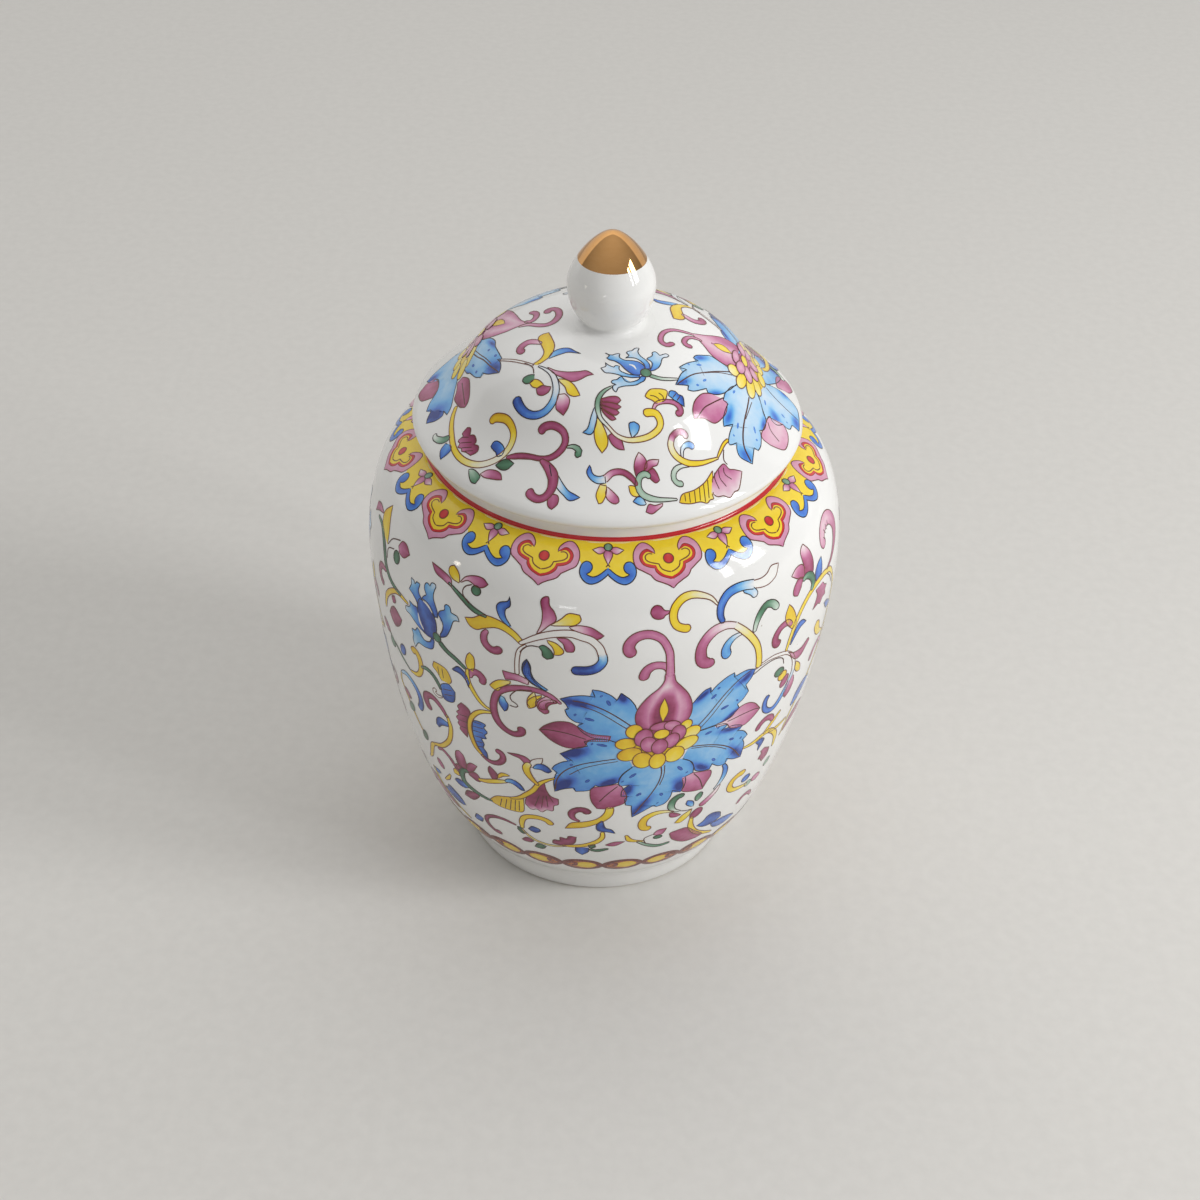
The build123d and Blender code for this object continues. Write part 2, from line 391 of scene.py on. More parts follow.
def leaf(g, pigment, first, second, shades, layer=0, contour=True, pools=()):
    """Leaf or petal: the field between two edges that run from its base to its tip."""
    longest = max(brushed(g, first)[2], brushed(g, second)[2])
    count = max(MIN_STEPS, int(longest / STEP) + 2)
    one, u, _ = brushed(g, first, count)
    two, _, _ = brushed(g, second, count)
    wide = np.hypot(*((one - two) * chart_scale(g, one)).T).max()
    across = np.linspace(0, 1, int(np.clip(wide / STEP, 2, MOST_ACROSS)) + 2)
    grid = one[:, None] * (1 - across)[None, :, None] + two[:, None] * across[None, :, None]
    if np.ndim(shades[0]):
        table = np.array([ramp(across, row) for row in shades])
        shade = np.column_stack([ramp(u, column) for column in table.T])
    else:
        shade = ramp(u, shades)[:, None] + RIM_SHADE * (np.abs(2 * across - 1) - 0.5)[None]
    lay(g, pigment, grid, shade + soaked(g, grid, pools), layer)
    if contour:
        edge_line(g, np.vstack([one, two[-2:0:-1]]), pigment, layer)


def dot(g, pigment, place, shades, layer=0):
    """Round petal: an ellipse with two radii in millimetres, turned by an angle in degrees."""
    x, y, wide, tall, turn = place
    a = np.linspace(0, np.pi, HALF_DOT)
    spot = np.array([x, y])
    scale = chart_scale(g, spot)
    c, s = direction(turn)
    edges = []
    for sign in (1, -1):
        flat = np.column_stack([sign * wide * np.sin(a), -tall * np.cos(a)])
        edges.append(spot + flat @ np.array([[c, s], [-s, c]]) / scale)
    leaf(g, pigment, edges[0].ravel(), edges[1].ravel(), shades, layer)


# Brush work in rows of whole numbers: kind, pigment, points along the spine or first edge, half widths or
# second edge, shades and layer. A stroke has a contour, a run carries on from another stroke, a dab has no
# contour, a leaf lies between two edges, a dot and a pool have a centre, two radii and a turn. Points are
# in tenths of a degree or millimetre, widths, radii and shades in hundredths. A point given twice is a
# sharp corner.
POINT_UNITS, FINE_UNITS = 10, 100
VEIN_SHADE, DETAIL_LAYER = 60, 2


def veins(halves, *paths):
    """Rows for fine dark lines, with the half widths taken in turn."""
    half = [halves[k % len(halves)] for k in range(len(paths))]
    return [("dab", "line", path, [wide], [VEIN_SHADE], DETAIL_LAYER) for path, wide in zip(paths, half)]


def flecks(pigment, half, shade, *paths):
    """Rows for short dabs of one size and shade."""
    return [("dab", pigment, path, half, [shade], DETAIL_LAYER) for path in paths]


def pooled(pigment, *spots):
    """Rows for the places where a pigment pooled: x, y, two radii and a turn."""
    return [("pool", pigment, spot[:2], spot[2:]) for spot in spots]


def petals(pigment, layer, *spots):
    """Rows for overlapping round petals, each two layers over the last: x, y, two radii, a turn and three
    shades."""
    return [("dot", pigment, spot[:2], spot[2:5], spot[5:], layer + 2 * k) for k, spot in enumerate(spots)]


LOTUS = [
    ("leaf", "rose", [29, 450, -20, 444, -49, 426, -70, 416, -100, 419, -127, 435, -141, 451], [29, 466,
     -20, 467, -28, 475, -33, 485, -52, 491, -81, 491, -113, 476, -141, 451], [75, 80, 95]),
    *veins([13], [-28, 462, -73, 449, -116, 446, -140, 451]),
    ("leaf", "rose", [291, 467, 333, 462, 352, 444, 379, 440, 406, 453, 430, 480], [291, 476, 325, 480, 339,
     496, 380, 507, 408, 497, 430, 480], [5, 45, 80]),
    *veins([13], [325, 471, 371, 469, 408, 472, 430, 480]),
    ("leaf", "rose", [50, 603, 18, 610, -12, 616, -17, 639, -12, 666, 2, 689], [61, 607, 77, 644, 74, 669,
     50, 682, 29, 690, 2, 689], [50, 75, 90]),
    *veins([13], [53, 610, 29, 635, 7, 664]),
    ("leaf", "rose", [248, 603, 280, 610, 304, 616, 308, 635, 299, 655, 291, 675], [221, 612, 229, 639, 229,
     660, 259, 671, 291, 675], [35, 70, 80]),
    *veins([13], [253, 607, 275, 635, 291, 671]),
    ("leaf", "blue", [119, 394, 89, 378, 82, 364, 69, 346, 49, 329, 49, 329, 40, 348, 40, 348, 26, 335, 4,
     324, -17, 321, -17, 321, -10, 340, -10, 340, -36, 338, -65, 343, -90, 353], [98, 472, 61, 471, 42, 469,
     18, 460, -14, 456, -38, 441, -50, 425, -50, 425, -36, 415, -36, 415, -54, 413, -71, 400, -79, 382, -79,
     382, -70, 378, -70, 378, -78, 364, -90, 353], [50, 60, 66]),
    ("leaf", "blue", [189, 398, 218, 385, 232, 369, 248, 355, 264, 351, 264, 351, 264, 366, 264, 366, 280,
     350, 304, 337, 325, 332, 325, 332, 325, 344, 325, 344, 347, 340, 365, 340, 388, 348], [205, 472, 242,
     470, 280, 468, 312, 466, 336, 458, 355, 443, 355, 443, 347, 429, 347, 429, 363, 420, 376, 404, 376,
     404, 364, 382, 364, 382, 379, 367, 388, 348], [50, 50, 58]),
    ("leaf", "blue", [50, 472, 21, 461, -9, 461, -33, 469, -33, 469, -25, 482, -25, 482, -49, 489, -70, 500,
     -92, 514, -92, 514, -62, 530, -62, 530, -86, 539, -105, 553, -113, 566, -113, 566, -100, 575, -100,
     575, -106, 589, -110, 612, -108, 641], [87, 548, 66, 566, 55, 585, 54, 596, 34, 605, 7, 611, 7, 611,
     -4, 607, -4, 607, -20, 625, -54, 632, -54, 632, -58, 620, -58, 620, -84, 628, -108, 641], [50, 60,
     70]),
    ("leaf", "blue", [242, 472, 285, 470, 315, 473, 329, 481, 329, 481, 311, 493, 311, 493, 344, 491, 368,
     500, 380, 507, 380, 507, 363, 516, 363, 516, 381, 523, 395, 535, 404, 548, 404, 548, 390, 555, 390,
     555, 400, 575, 400, 598, 399, 616], [213, 546, 240, 564, 250, 585, 256, 598, 275, 607, 299, 610, 299,
     610, 303, 594, 303, 594, 325, 610, 347, 615, 347, 615, 349, 597, 349, 597, 373, 610, 399, 616], [50,
     50, 58]),
    ("leaf", "blue", [87, 548, 63, 573, 54, 596, 58, 610, 58, 610, 82, 607, 82, 607, 65, 625, 63, 646, 63,
     646, 82, 647, 82, 647, 74, 657, 77, 678, 77, 678, 93, 682, 93, 682, 94, 698, 98, 725], [210, 546, 232,
     557, 248, 580, 250, 603, 250, 603, 229, 610, 229, 610, 233, 625, 231, 646, 224, 661, 224, 661, 200,
     648, 200, 648, 197, 671, 184, 691, 162, 697, 162, 697, 154, 690, 154, 690, 119, 712, 98, 725], [50, 52,
     60]),
    *pooled("blue", [-52, 361, 369, 99, 13], [53, 342, 158, 94, 66], [360, 361, 292, 96, -29], [332, 455,
     273, 61, -32], [244, 369, 239, 84, -39], [-61, 507, 323, 159, -22], [-86, 613, 385, 144, -48], [29,
     598, 242, 111, -35], [344, 501, 331, 79, 12], [273, 593, 291, 103, 41], [377, 588, 398, 121, 51], [79,
     626, 243, 110, -72], [216, 636, 264, 147, 79], [118, 690, 456, 114, -61]),
    *veins([15, 11], [76, 423, 55, 405, 31, 387, 4, 371, -30, 358, -62, 354], [69, 432, 45, 414, 18, 394,
     -9, 378, -44, 366], [237, 458, 264, 430, 291, 398, 317, 373, 347, 354, 376, 346], [248, 464, 275, 435,
     301, 403, 328, 376], [45, 520, 2, 528, -41, 541, -78, 564, -100, 596, -107, 635], [50, 528, 7, 537,
     -36, 553, -70, 578], [226, 512, 269, 521, 307, 535, 339, 553, 365, 575, 395, 612], [232, 519, 275, 528,
     312, 544, 341, 563], [158, 555, 162, 580, 157, 612, 141, 648, 119, 685, 102, 716], [168, 555, 169, 589,
     161, 621]),
    *flecks("blue", [23, 41, 23], 92, [17, 348, 25, 363], [-33, 400, -10, 406], [-58, 391, -52, 394], [2,
     335, 6, 339], [268, 385, 281, 375], [299, 425, 321, 421], [284, 357, 287, 363], [342, 418, 347, 415],
     [-4, 475, 22, 480], [-29, 599, -19, 588], [-67, 542, -61, 547], [-17, 474, -12, 476], [265, 487, 284,
     484], [342, 532, 358, 538], [300, 576, 311, 587], [378, 545, 385, 547], [299, 479, 303, 482], [80, 584,
     97, 570], [203, 568, 218, 585], [102, 649, 115, 638], [167, 649, 173, 660], [230, 594, 234, 598], [62,
     593, 66, 596], [162, 682, 165, 685], [114, 640, 109, 646]),
    ("stroke", "rose", [162, 294, 153, 273, 137, 265, 119, 265, 105, 274, 99, 288, 99, 299], [64, 78, 82,
     87, 96, 101, 101], [50, 55, 65, 75], 2),
    ("run", "rose", [159, 304, 159, 280, 158, 257, 156, 237, 148, 218, 136, 202, 117, 192, 97, 190, 77, 196,
     64, 210, 64, 225, 77, 235], [91, 87, 78, 78, 78, 78, 87, 91, 96, 105, 119, 123], [55, 55, 60, 65, 75],
     4),
    ("leaf", "rose", [147, 290, 147, 305, 136, 323, 111, 344, 90, 373, 84, 398, 90, 423, 109, 444], [170,
     290, 174, 310, 189, 328, 208, 353, 219, 382, 219, 412, 206, 435, 189, 444], [[70, 50, 55, 70], [75, 20,
     10, 25, 65, 80], [80, 50, 30, 75, 80, 70, 30, 55, 85], [85, 70, 45, 90, 95, 95, 85, 35, 50, 90], [90,
     75, 55, 90, 95, 95, 85, 45, 60, 90], [90, 80, 65, 90, 95, 95, 85, 50, 65, 90]], 6),
    ("dab", "rose", [159, 297, 159, 285], [78, 69], [55, 55], 8),
    ("leaf", "yellow", [150, 352, 141, 375, 141, 394, 150, 420], [150, 352, 159, 375, 161, 394, 150, 420],
     [60, 75, 65], 8),
    ("dab", "yellow", [87, 485, 149, 487, 213, 482], [320, 480, 320], [85], 7),
    *petals("yellow", 9, [84, 439, 174, 201, 0, 90, 75, 55], [210, 441, 128, 155, 20, 90, 50, 30], [66, 475,
     219, 169, 0, 90, 80, 60], [227, 466, 201, 174, -20, 90, 45, 25], [76, 507, 256, 192, -20, 90, 85, 65],
     [218, 497, 256, 187, -25, 90, 50, 30], [109, 529, 201, 247, -15, 90, 80, 60], [189, 524, 210, 238, 15,
     90, 62, 42], [147, 536, 174, 247, 0, 90, 72, 52]),
    ("dab", "rose", [109, 466, 149, 466, 192, 466], [274, 388, 274], [85], 27),
    *petals("rose", 28, [147, 431, 228, 119, -5, 95, 65, 85], [175, 434, 183, 137, 20, 80, 50, 70], [107,
     459, 183, 256, 10, 90, 60, 80], [193, 458, 155, 228, -10, 90, 60, 80]),
    ("dot", "yellow", [150, 454], [165, 137, 0], [90, 70, 60], 36),
    *petals("rose", 38, [121, 481, 169, 238, -12, 90, 55, 80], [177, 478, 160, 219, 15, 90, 55, 80], [148,
     491, 169, 228, 0, 95, 60, 85]),
]
BRANCH = [
    ("stroke", "yellow", [277, 155, 261, 137, 237, 126, 213, 121, 190, 125, 171, 140, 165, 160, 172, 178,
     189, 187, 206, 189], [18, 41, 59, 73, 82, 82, 82, 78, 82, 91], [0, 2, 25, 60, 65, 65, 70]),
    ("leaf", "rose", [158, 145, 145, 143, 137, 134, 125, 131, 115, 137, 112, 146], [158, 151, 147, 153, 141,
     159, 128, 160, 117, 155, 112, 146], [60, 80, 85]),
    ("leaf", "white", [371, 131, 403, 135, 424, 132, 443, 122, 467, 125], [381, 149, 403, 154, 424, 155,
     448, 148, 459, 137, 467, 125], [0]),
    ("stroke", "blue", [349, 141, 373, 153, 383, 167], [64, 82, 82], [60, 35, 5]),
    ("run", "blue", [380, 140, 355, 135, 328, 134, 304, 140, 286, 157, 281, 178, 288, 197], [96, 91, 91, 91,
     87, 73, 50], [2, 35, 70, 75, 80, 85, 90], 3),
    ("stroke", "blue", [343, 237, 325, 237, 308, 243, 296, 257, 297, 273, 308, 280], [18, 46, 73, 91, 110,
     123], [0, 10, 45, 60, 65, 60]),
    ("run", "yellow", [320, 212, 341, 230, 365, 255, 385, 285, 394, 316, 397, 348], [69, 78, 78, 73, 73,
     78], [0, 20, 45, 50, 55, 50], 3),
    ("run", "rose", [320, 212, 296, 205, 269, 207, 248, 219, 234, 237, 231, 257, 236, 275, 252, 283, 265,
     278], [69, 82, 101, 110, 110, 114, 123, 128, 110], [0, 5, 30, 65, 75, 75, 70], 3),
    ("stroke", "green", [373, 247, 380, 226, 392, 209, 411, 197, 430, 201, 442, 213, 442, 221], [41, 59, 78,
     82, 82, 87, 87], [10, 30, 75, 90, 75, 45, 20]),
    ("run", "white", [4, 235, -4, 216, -22, 201, -44, 195, -70, 190, -110, 196, -148, 210, -187, 232], [82,
     78, 78, 78, 73, 69, 55, 37], [0], 2),
    ("run", "blue", [4, 232, 5, 249, -8, 265, -30, 273, -65, 275], [82, 91, 101, 105, 101], [10, 70, 95,
     100, 95], 2),
    ("leaf", "rose", [-148, 202, -138, 178, -137, 155, -144, 132, -137, 122, -128, 120], [-141, 199, -121,
     180, -104, 165, -110, 148, -122, 137, -125, 120], [10, 45, 80, 80]),
    ("leaf", "yellow", [-116, 177, -94, 162, -76, 148, -51, 149], [-113, 178, -86, 175, -60, 171, -47, 160,
     -51, 149], [5, 50, 75]),
    ("leaf", "rose", [-73, 176, -52, 171, -25, 173, -6, 182, 6, 190], [-73, 178, -46, 188, -20, 199, -4,
     197, 6, 190], [0, 25, 75, 90]),
    ("leaf", "rose", [-100, 203, -76, 202, -60, 216, -61, 230, -76, 232], [-97, 206, -85, 215, -81, 226,
     -76, 232], [60, 85]),
    ("leaf", "yellow", [-122, 211, -100, 216, -83, 231, -90, 241, -105, 243], [-121, 216, -110, 225, -105,
     235, -105, 243], [50, 85]),
    ("leaf", "green", [-141, 230, -129, 224, -112, 234, -106, 249, -121, 256], [-140, 231, -133, 239, -131,
     250, -121, 256], [75, 100]),
    *veins([13], [-185, 253, -175, 239, -159, 231, -140, 230]),
    ("leaf", "blue", [-167, 267, -177, 289, -174, 307, -152, 325, -121, 340], [-167, 267, -160, 285, -156,
     308, -141, 326, -121, 340], [100, 100, 90]),
    ("leaf", "yellow", [-133, 352, -153, 360, -168, 378, -160, 394], [-131, 354, -147, 371, -148, 385, -160,
     394], [60, 85]),
    ("stroke", "rose", [-96, 363, -116, 367, -129, 378, -129, 391], [32, 64, 91, 105], [80, 90]),
    ("stroke", "blue", [343, 613, 354, 632, 355, 657, 345, 681, 333, 695], [37, 64, 64, 50, 27], [75, 80,
     65, 30, 0]),
    ("stroke", "rose", [349, 685, 339, 706, 317, 728, 299, 741], [32, 59, 78, 91], [0, 10, 50, 85]),
    ("dot", "rose", [294, 765], [137, 192, 20], [85, 90]),
    ("stroke", "green", [237, 681, 224, 676, 209, 688, 206, 710, 217, 726, 237, 735], [78, 87, 87, 78, 50,
     18], [85, 90, 85, 60, 20, 5]),
    ("leaf", "blue", [253, 702, 251, 716, 267, 729, 276, 731], [254, 702, 270, 710, 276, 721, 276, 731],
     [90, 70, 30]),
    ("leaf", "green", [288, 684, 276, 694, 277, 710, 285, 715], [290, 684, 297, 691, 295, 705, 285, 715],
     [90, 60]),
    ("stroke", "yellow", [218, 731, 189, 723, 162, 723, 139, 735, 130, 755, 137, 775, 158, 779], [14, 46,
     69, 82, 91, 91, 96], [10, 30, 60, 80, 80, 80]),
    ("leaf", "rose", [205, 734, 216, 735, 234, 745, 242, 752], [205, 735, 209, 749, 225, 755, 242, 752],
     [90, 75]),
    ("leaf", "yellow", [275, 741, 248, 756, 229, 780], [275, 744, 270, 766, 248, 784, 229, 780], [30, 80]),
    *veins([13], [237, 735, 256, 741, 275, 741]),
    ("stroke", "yellow", [443, 690, 419, 688, 399, 698, 394, 719, 409, 737, 440, 747, 477, 754], [96, 91,
     82, 78, 69, 59, 37], [75, 80, 80, 70, 60, 50, 30]),
    ("dot", "blue", [459, 723], [137, 119, 20], [95, 80]),
    ("stroke", "rose", [-20, 711, -30, 698, -51, 698, -66, 713, -62, 731, -44, 741], [96, 91, 82, 78, 59,
     23], [95, 95, 90, 85, 80]),
    ("leaf", "yellow", [26, 684, 21, 707, 2, 728, -30, 741, -68, 750, -86, 775], [47, 684, 45, 710, 31, 730,
     7, 745, -30, 763, -86, 775], [50, 75, 80, 90]),
    ("leaf", "blue", [15, 735, 2, 753, 7, 775, 34, 780, 56, 787], [19, 735, 27, 762, 45, 771, 56, 787], [90,
     95, 90]),
]
CARNATION = [
    ("leaf", "blue", [-476, 257, -482, 245, -496, 235, -512, 229, -512, 229, -505, 213, -508, 204, -507,
     200], [-451, 237, -464, 229, -473, 223, -477, 214, -474, 199, -482, 200, -485, 198, -492, 207, -496,
     202, -507, 200], [90, 75, 50, 15]),
    ("leaf", "blue", [-418, 252, -424, 244, -434, 234, -448, 228, -464, 228, -464, 228, -456, 218, -449,
     213, -456, 204, -458, 196, -455, 188, -448, 185, -440, 188, -440, 188, -437, 180, -430, 177, -423,
     178], [-407, 250, -409, 237, -416, 225, -423, 214, -426, 203, -424, 191, -421, 183, -423, 178], [95,
     80, 55, 15]),
    ("leaf", "blue", [-400, 287, -392, 271, -391, 257, -397, 247, -407, 241, -407, 241, -403, 231, -394,
     225, -387, 220, -389, 214, -386, 208, -380, 206, -372, 209, -368, 219, -368, 219, -360, 220, -349, 221,
     -343, 231], [-400, 295, -381, 283, -370, 264, -364, 248, -360, 237, -351, 232, -343, 231], [100, 85,
     55, 15]),
    ("leaf", "blue", [-476, 262, -483, 258, -493, 260, -510, 257, -510, 257, -508, 270, -526, 279], [-443,
     313, -475, 305, -492, 298, -508, 291, -525, 289, -526, 279], [95, 70, 40, 15]),
    ("leaf", "blue", [-430, 310, -436, 323, -453, 330, -468, 325, -473, 315, -482, 311, -482, 311, -491,
     323, -504, 325, -500, 339, -503, 353, -496, 371], [-420, 312, -428, 338, -453, 348, -478, 350, -487,
     358, -496, 371], [95, 75, 45, 15]),
    ("leaf", "blue", [-423, 310, -448, 311, -462, 298, -472, 280, -478, 260, -476, 241, -471, 232], [-413,
     298, -411, 275, -416, 257, -428, 245, -448, 232, -471, 232], [100, 95, 85], 2),
    ("dab", "white", [-476, 269, -469, 289, -456, 303], [9, 32, 14], [0], 4),
    ("dab", "white", [-402, 249, -395, 262, -398, 275], [9, 32, 14], [0], 4),
    ("dab", "white", [-459, 231, -440, 235, -425, 246], [9, 27, 9], [0], 5),
    ("dot", "green", [-411, 300], [114, 110, 0], [95, 80], 4),
    ("stroke", "green", [-405, 307, -381, 321, -354, 330, -325, 344], [69, 59, 55, 37], [95, 90, 85]),
    ("stroke", "yellow", [-322, 341, -322, 371, -311, 394, -295, 416, -279, 428, -262, 433], [37, 55, 55,
     50, 46, 27], [60, 70, 65, 50]),
    ("leaf", "blue", [-368, 363, -349, 347, -328, 357, -318, 378], [-368, 365, -346, 365, -330, 375, -321,
     396], [100, 95, 90]),
    ("leaf", "yellow", [-321, 340, -326, 325, -321, 305, -313, 295], [-306, 343, -300, 325, -302, 303, -313,
     295], [60, 75, 70]),
    ("stroke", "rose", [-314, 362, -309, 346, -293, 341, -280, 352, -284, 367], [27, 69, 91, 91, 64], [50,
     80, 85]),
]
UPPER = [
    ("stroke", "white", [-191, 310, -191, 275, -186, 248, -170, 232], [46, 46, 46, 27], [0]),
    ("leaf", "yellow", [-175, 226, -199, 207, -237, 193, -279, 192, -306, 207, -328, 214], [-180, 237, -210,
     218, -242, 211, -274, 221, -295, 231, -314, 228, -328, 214], [50, 70, 80, 85]),
    ("leaf", "blue", [-215, 200, -237, 187, -249, 166, -242, 154, -223, 147, -220, 137], [-207, 199, -223,
     182, -226, 166, -215, 155, -220, 137], [60, 85, 95]),
    ("stroke", "green", [-271, 194, -306, 189, -338, 176, -365, 165, -386, 157], [27, 55, 55, 41, 18], [70,
     95, 90, 60]),
    ("leaf", "rose", [-376, 161, -381, 148, -408, 141, -448, 137], [-369, 165, -402, 158, -429, 153, -448,
     137], [35, 75, 85]),
    ("leaf", "yellow", [-357, 148, -376, 146, -391, 137, -392, 125, -381, 119], [-355, 148, -359, 134, -368,
     125, -381, 119], [30, 70, 80]),
    ("leaf", "rose", [-354, 145, -341, 129, -317, 120, -295, 119, -279, 127], [-353, 146, -333, 135, -306,
     140, -289, 136, -279, 127], [10, 55, 85]),
    *veins([13], [-320, 181, -341, 166, -339, 150, -320, 139]),
    ("dot", "green", [-307, 148], [110, 101, 0], [95, 80]),
    ("stroke", "rose", [-266, 223, -275, 237, -272, 255, -255, 266, -239, 263, -234, 253], [41, 73, 82, 82,
     87, 91], [60, 80, 90]),
]
ROSE_SCROLL = [
    ("leaf", "blue", [-122, 337, -156, 325, -177, 303, -178, 280, -168, 265], [-116, 335, -146, 316, -157,
     298, -159, 280, -168, 265], [60, 85, 100]),
    ("stroke", "rose", [-87, 367, -114, 349, -146, 341, -183, 344, -215, 355, -242, 375, -253, 403, -255,
     430, -247, 457, -229, 475, -205, 482, -186, 472, -187, 455], [23, 59, 64, 69, 73, 73, 73, 78, 87, 82,
     73, 78, 91], [60, 75, 80, 80, 85, 90, 90]),
    ("leaf", "rose", [-162, 318, -189, 310, -206, 310, -227, 310, -227, 310, -225, 319, -220, 331], [-162,
     331, -189, 327, -206, 328, -220, 331], [20, 50, 70, 80]),
    ("leaf", "yellow", [-208, 332, -226, 335, -240, 340, -252, 349, -262, 361], [-205, 338, -217, 345, -230,
     356, -240, 369, -254, 367, -262, 361], [30, 60, 85]),
    *veins([13], [-155, 343, -169, 346, -189, 351, -202, 362, -210, 374, -207, 385, -197, 390, -191, 395,
     -197, 401, -213, 400]),
    ("leaf", "blue", [-234, 380, -239, 392, -238, 406, -227, 422], [-225, 380, -221, 392, -216, 399, -219,
     415, -227, 422], [30, 85, 100]),
    ("leaf", "yellow", [-150, 345, -162, 359, -168, 372, -168, 388, -164, 395], [-149, 348, -146, 363, -145,
     381, -153, 390, -164, 395], [10, 50, 75, 60]),
    ("leaf", "rose", [-121, 351, -136, 363, -144, 375, -143, 389, -136, 397, -126, 402], [-98, 365, -114,
     367, -123, 374, -122, 384, -116, 391, -118, 398, -126, 402], [20, 50, 80, 85]),
]
COMBS = [
    ("stroke", "yellow", [-261, 439, -290, 448, -311, 464, -328, 489, -334, 516, -330, 548, -320, 573, -301,
     591], [27, 50, 55, 59, 59, 59, 55, 37], [50, 75, 85, 90, 90]),
    ("stroke", "rose", [-309, 588, -282, 599, -258, 593, -243, 575, -246, 558, -262, 553], [32, 59, 64, 69,
     69, 78], [90, 90, 85]),
    ("leaf", "rose", [-350, 449, -364, 466, -360, 475, -370, 485, -364, 491, -373, 503, -366, 512, -371,
     519, -364, 528, -366, 537, -346, 552], [-341, 450, -325, 464, -336, 494, -341, 525, -344, 550], [[90,
     95], [70, 95], [70, 95], [90, 95]]),
    ("leaf", "blue", [-316, 485, -298, 482, -282, 485, -289, 496, -280, 507, -289, 519, -285, 528, -300,
     534, -294, 548, -298, 562, -289, 575, -289, 595], [-321, 489, -324, 512, -324, 535, -316, 562, -295,
     595], [[90, 80], [85, 70], [90, 80], [100, 90]]),
    *veins([10], [-322, 491, -295, 489], [-323, 505, -291, 500], [-324, 519, -293, 514], [-322, 535, -298,
     530], [-319, 550, -298, 546], [-314, 564, -298, 560], [-361, 489, -336, 485], [-364, 507, -338, 503],
     [-361, 525, -341, 523]),
]
LEFT_SIDE = [
    ("leaf", "yellow", [-408, 414, -421, 398, -434, 389, -429, 373], [-381, 412, -374, 398, -386, 375, -408,
     371, -429, 373], [[60, 90], [75, 75], [85, 70]]),
    *veins([10], [-414, 405, -416, 380], [-400, 405, -402, 378]),
    ("stroke", "green", [-483, 419, -461, 411, -440, 415, -424, 429, -414, 446], [23, 50, 55, 55, 37], [60,
     95, 90]),
    ("leaf", "blue", [-417, 439, -408, 425, -386, 414, -376, 419, -366, 428], [-413, 465, -397, 469, -373,
     458, -366, 428], [[70, 100], [75, 95], [90, 100]]),
    *veins([10], [-408, 439, -376, 428], [-405, 453, -371, 441]),
    ("stroke", "yellow", [-516, 394, -501, 384, -487, 394, -483, 414, -489, 437, -507, 455, -539, 463], [82,
     91, 82, 73, 64, 50, 23], [85, 80, 75, 60]),
    ("stroke", "white", [-413, 466, -432, 472, -443, 464, -434, 455], [18, 41, 46, 46], [0]),
    ("dot", "blue", [-563, 419], [110, 174, 25], [100, 80]),
    ("dot", "green", [-624, 435], [119, 137, 0], [80]),
    ("dot", "rose", [-654, 407], [183, 119, 30], [85]),
    ("stroke", "rose", [-472, 539, -485, 516, -477, 496, -451, 489, -424, 503, -407, 525], [110, 101, 91,
     82, 69, 41], [95, 90, 85, 80]),
    ("stroke", "yellow", [-408, 516, -401, 544, -405, 571, -416, 598, -434, 621, -461, 644, -499, 661], [37,
     55, 59, 59, 59, 55, 37], [60, 75, 80, 80]),
    ("leaf", "blue", [-459, 573, -453, 553, -437, 540, -410, 541], [-451, 580, -434, 563, -410, 553, -410,
     541], [100, 90, 70]),
    ("stroke", "blue", [-606, 510, -574, 494, -544, 496, -520, 514, -514, 537, -520, 557, -533, 572], [27,
     55, 73, 87, 91, 91, 82], [30, 50, 75, 95, 90]),
    ("dot", "rose", [-590, 562], [155, 101, 30], [85]),
    ("dot", "green", [-582, 598], [110, 183, 30], [85]),
    ("dot", "green", [-539, 660], [101, 183, 20], [95]),
    ("stroke", "green", [-539, 463, -574, 446, -600, 431, -624, 426, -654, 398], [18, 32, 37, 37, 23], [60,
     85, 90], -2),
    ("stroke", "yellow", [-483, 654, -507, 669, -520, 691, -535, 719, -552, 738], [37, 59, 64, 55, 23], [75,
     80, 80], -2),
    ("stroke", "rose", [-483, 667, -459, 656, -433, 668, -420, 685, -411, 701], [23, 50, 55, 55, 27], [80,
     85, 90], 2),
    ("leaf", "yellow", [-412, 695, -429, 701, -433, 717], [-406, 709, -414, 717, -433, 718], [80, 75]),
    ("dot", "rose", [-494, 725], [101, 155, -20], [80, 70]),
    ("stroke", "yellow", [-457, 740, -474, 762, -500, 785], [23, 50, 23], [70, 75]),
    ("dot", "blue", [-540, 780], [192, 73, -30], [90, 80]),
    ("stroke", "yellow", [-606, 510, -616, 539, -603, 566, -584, 598, -563, 632, -536, 666], [18, 37, 41,
     41, 37, 23], [60, 75, 80], -2),
]
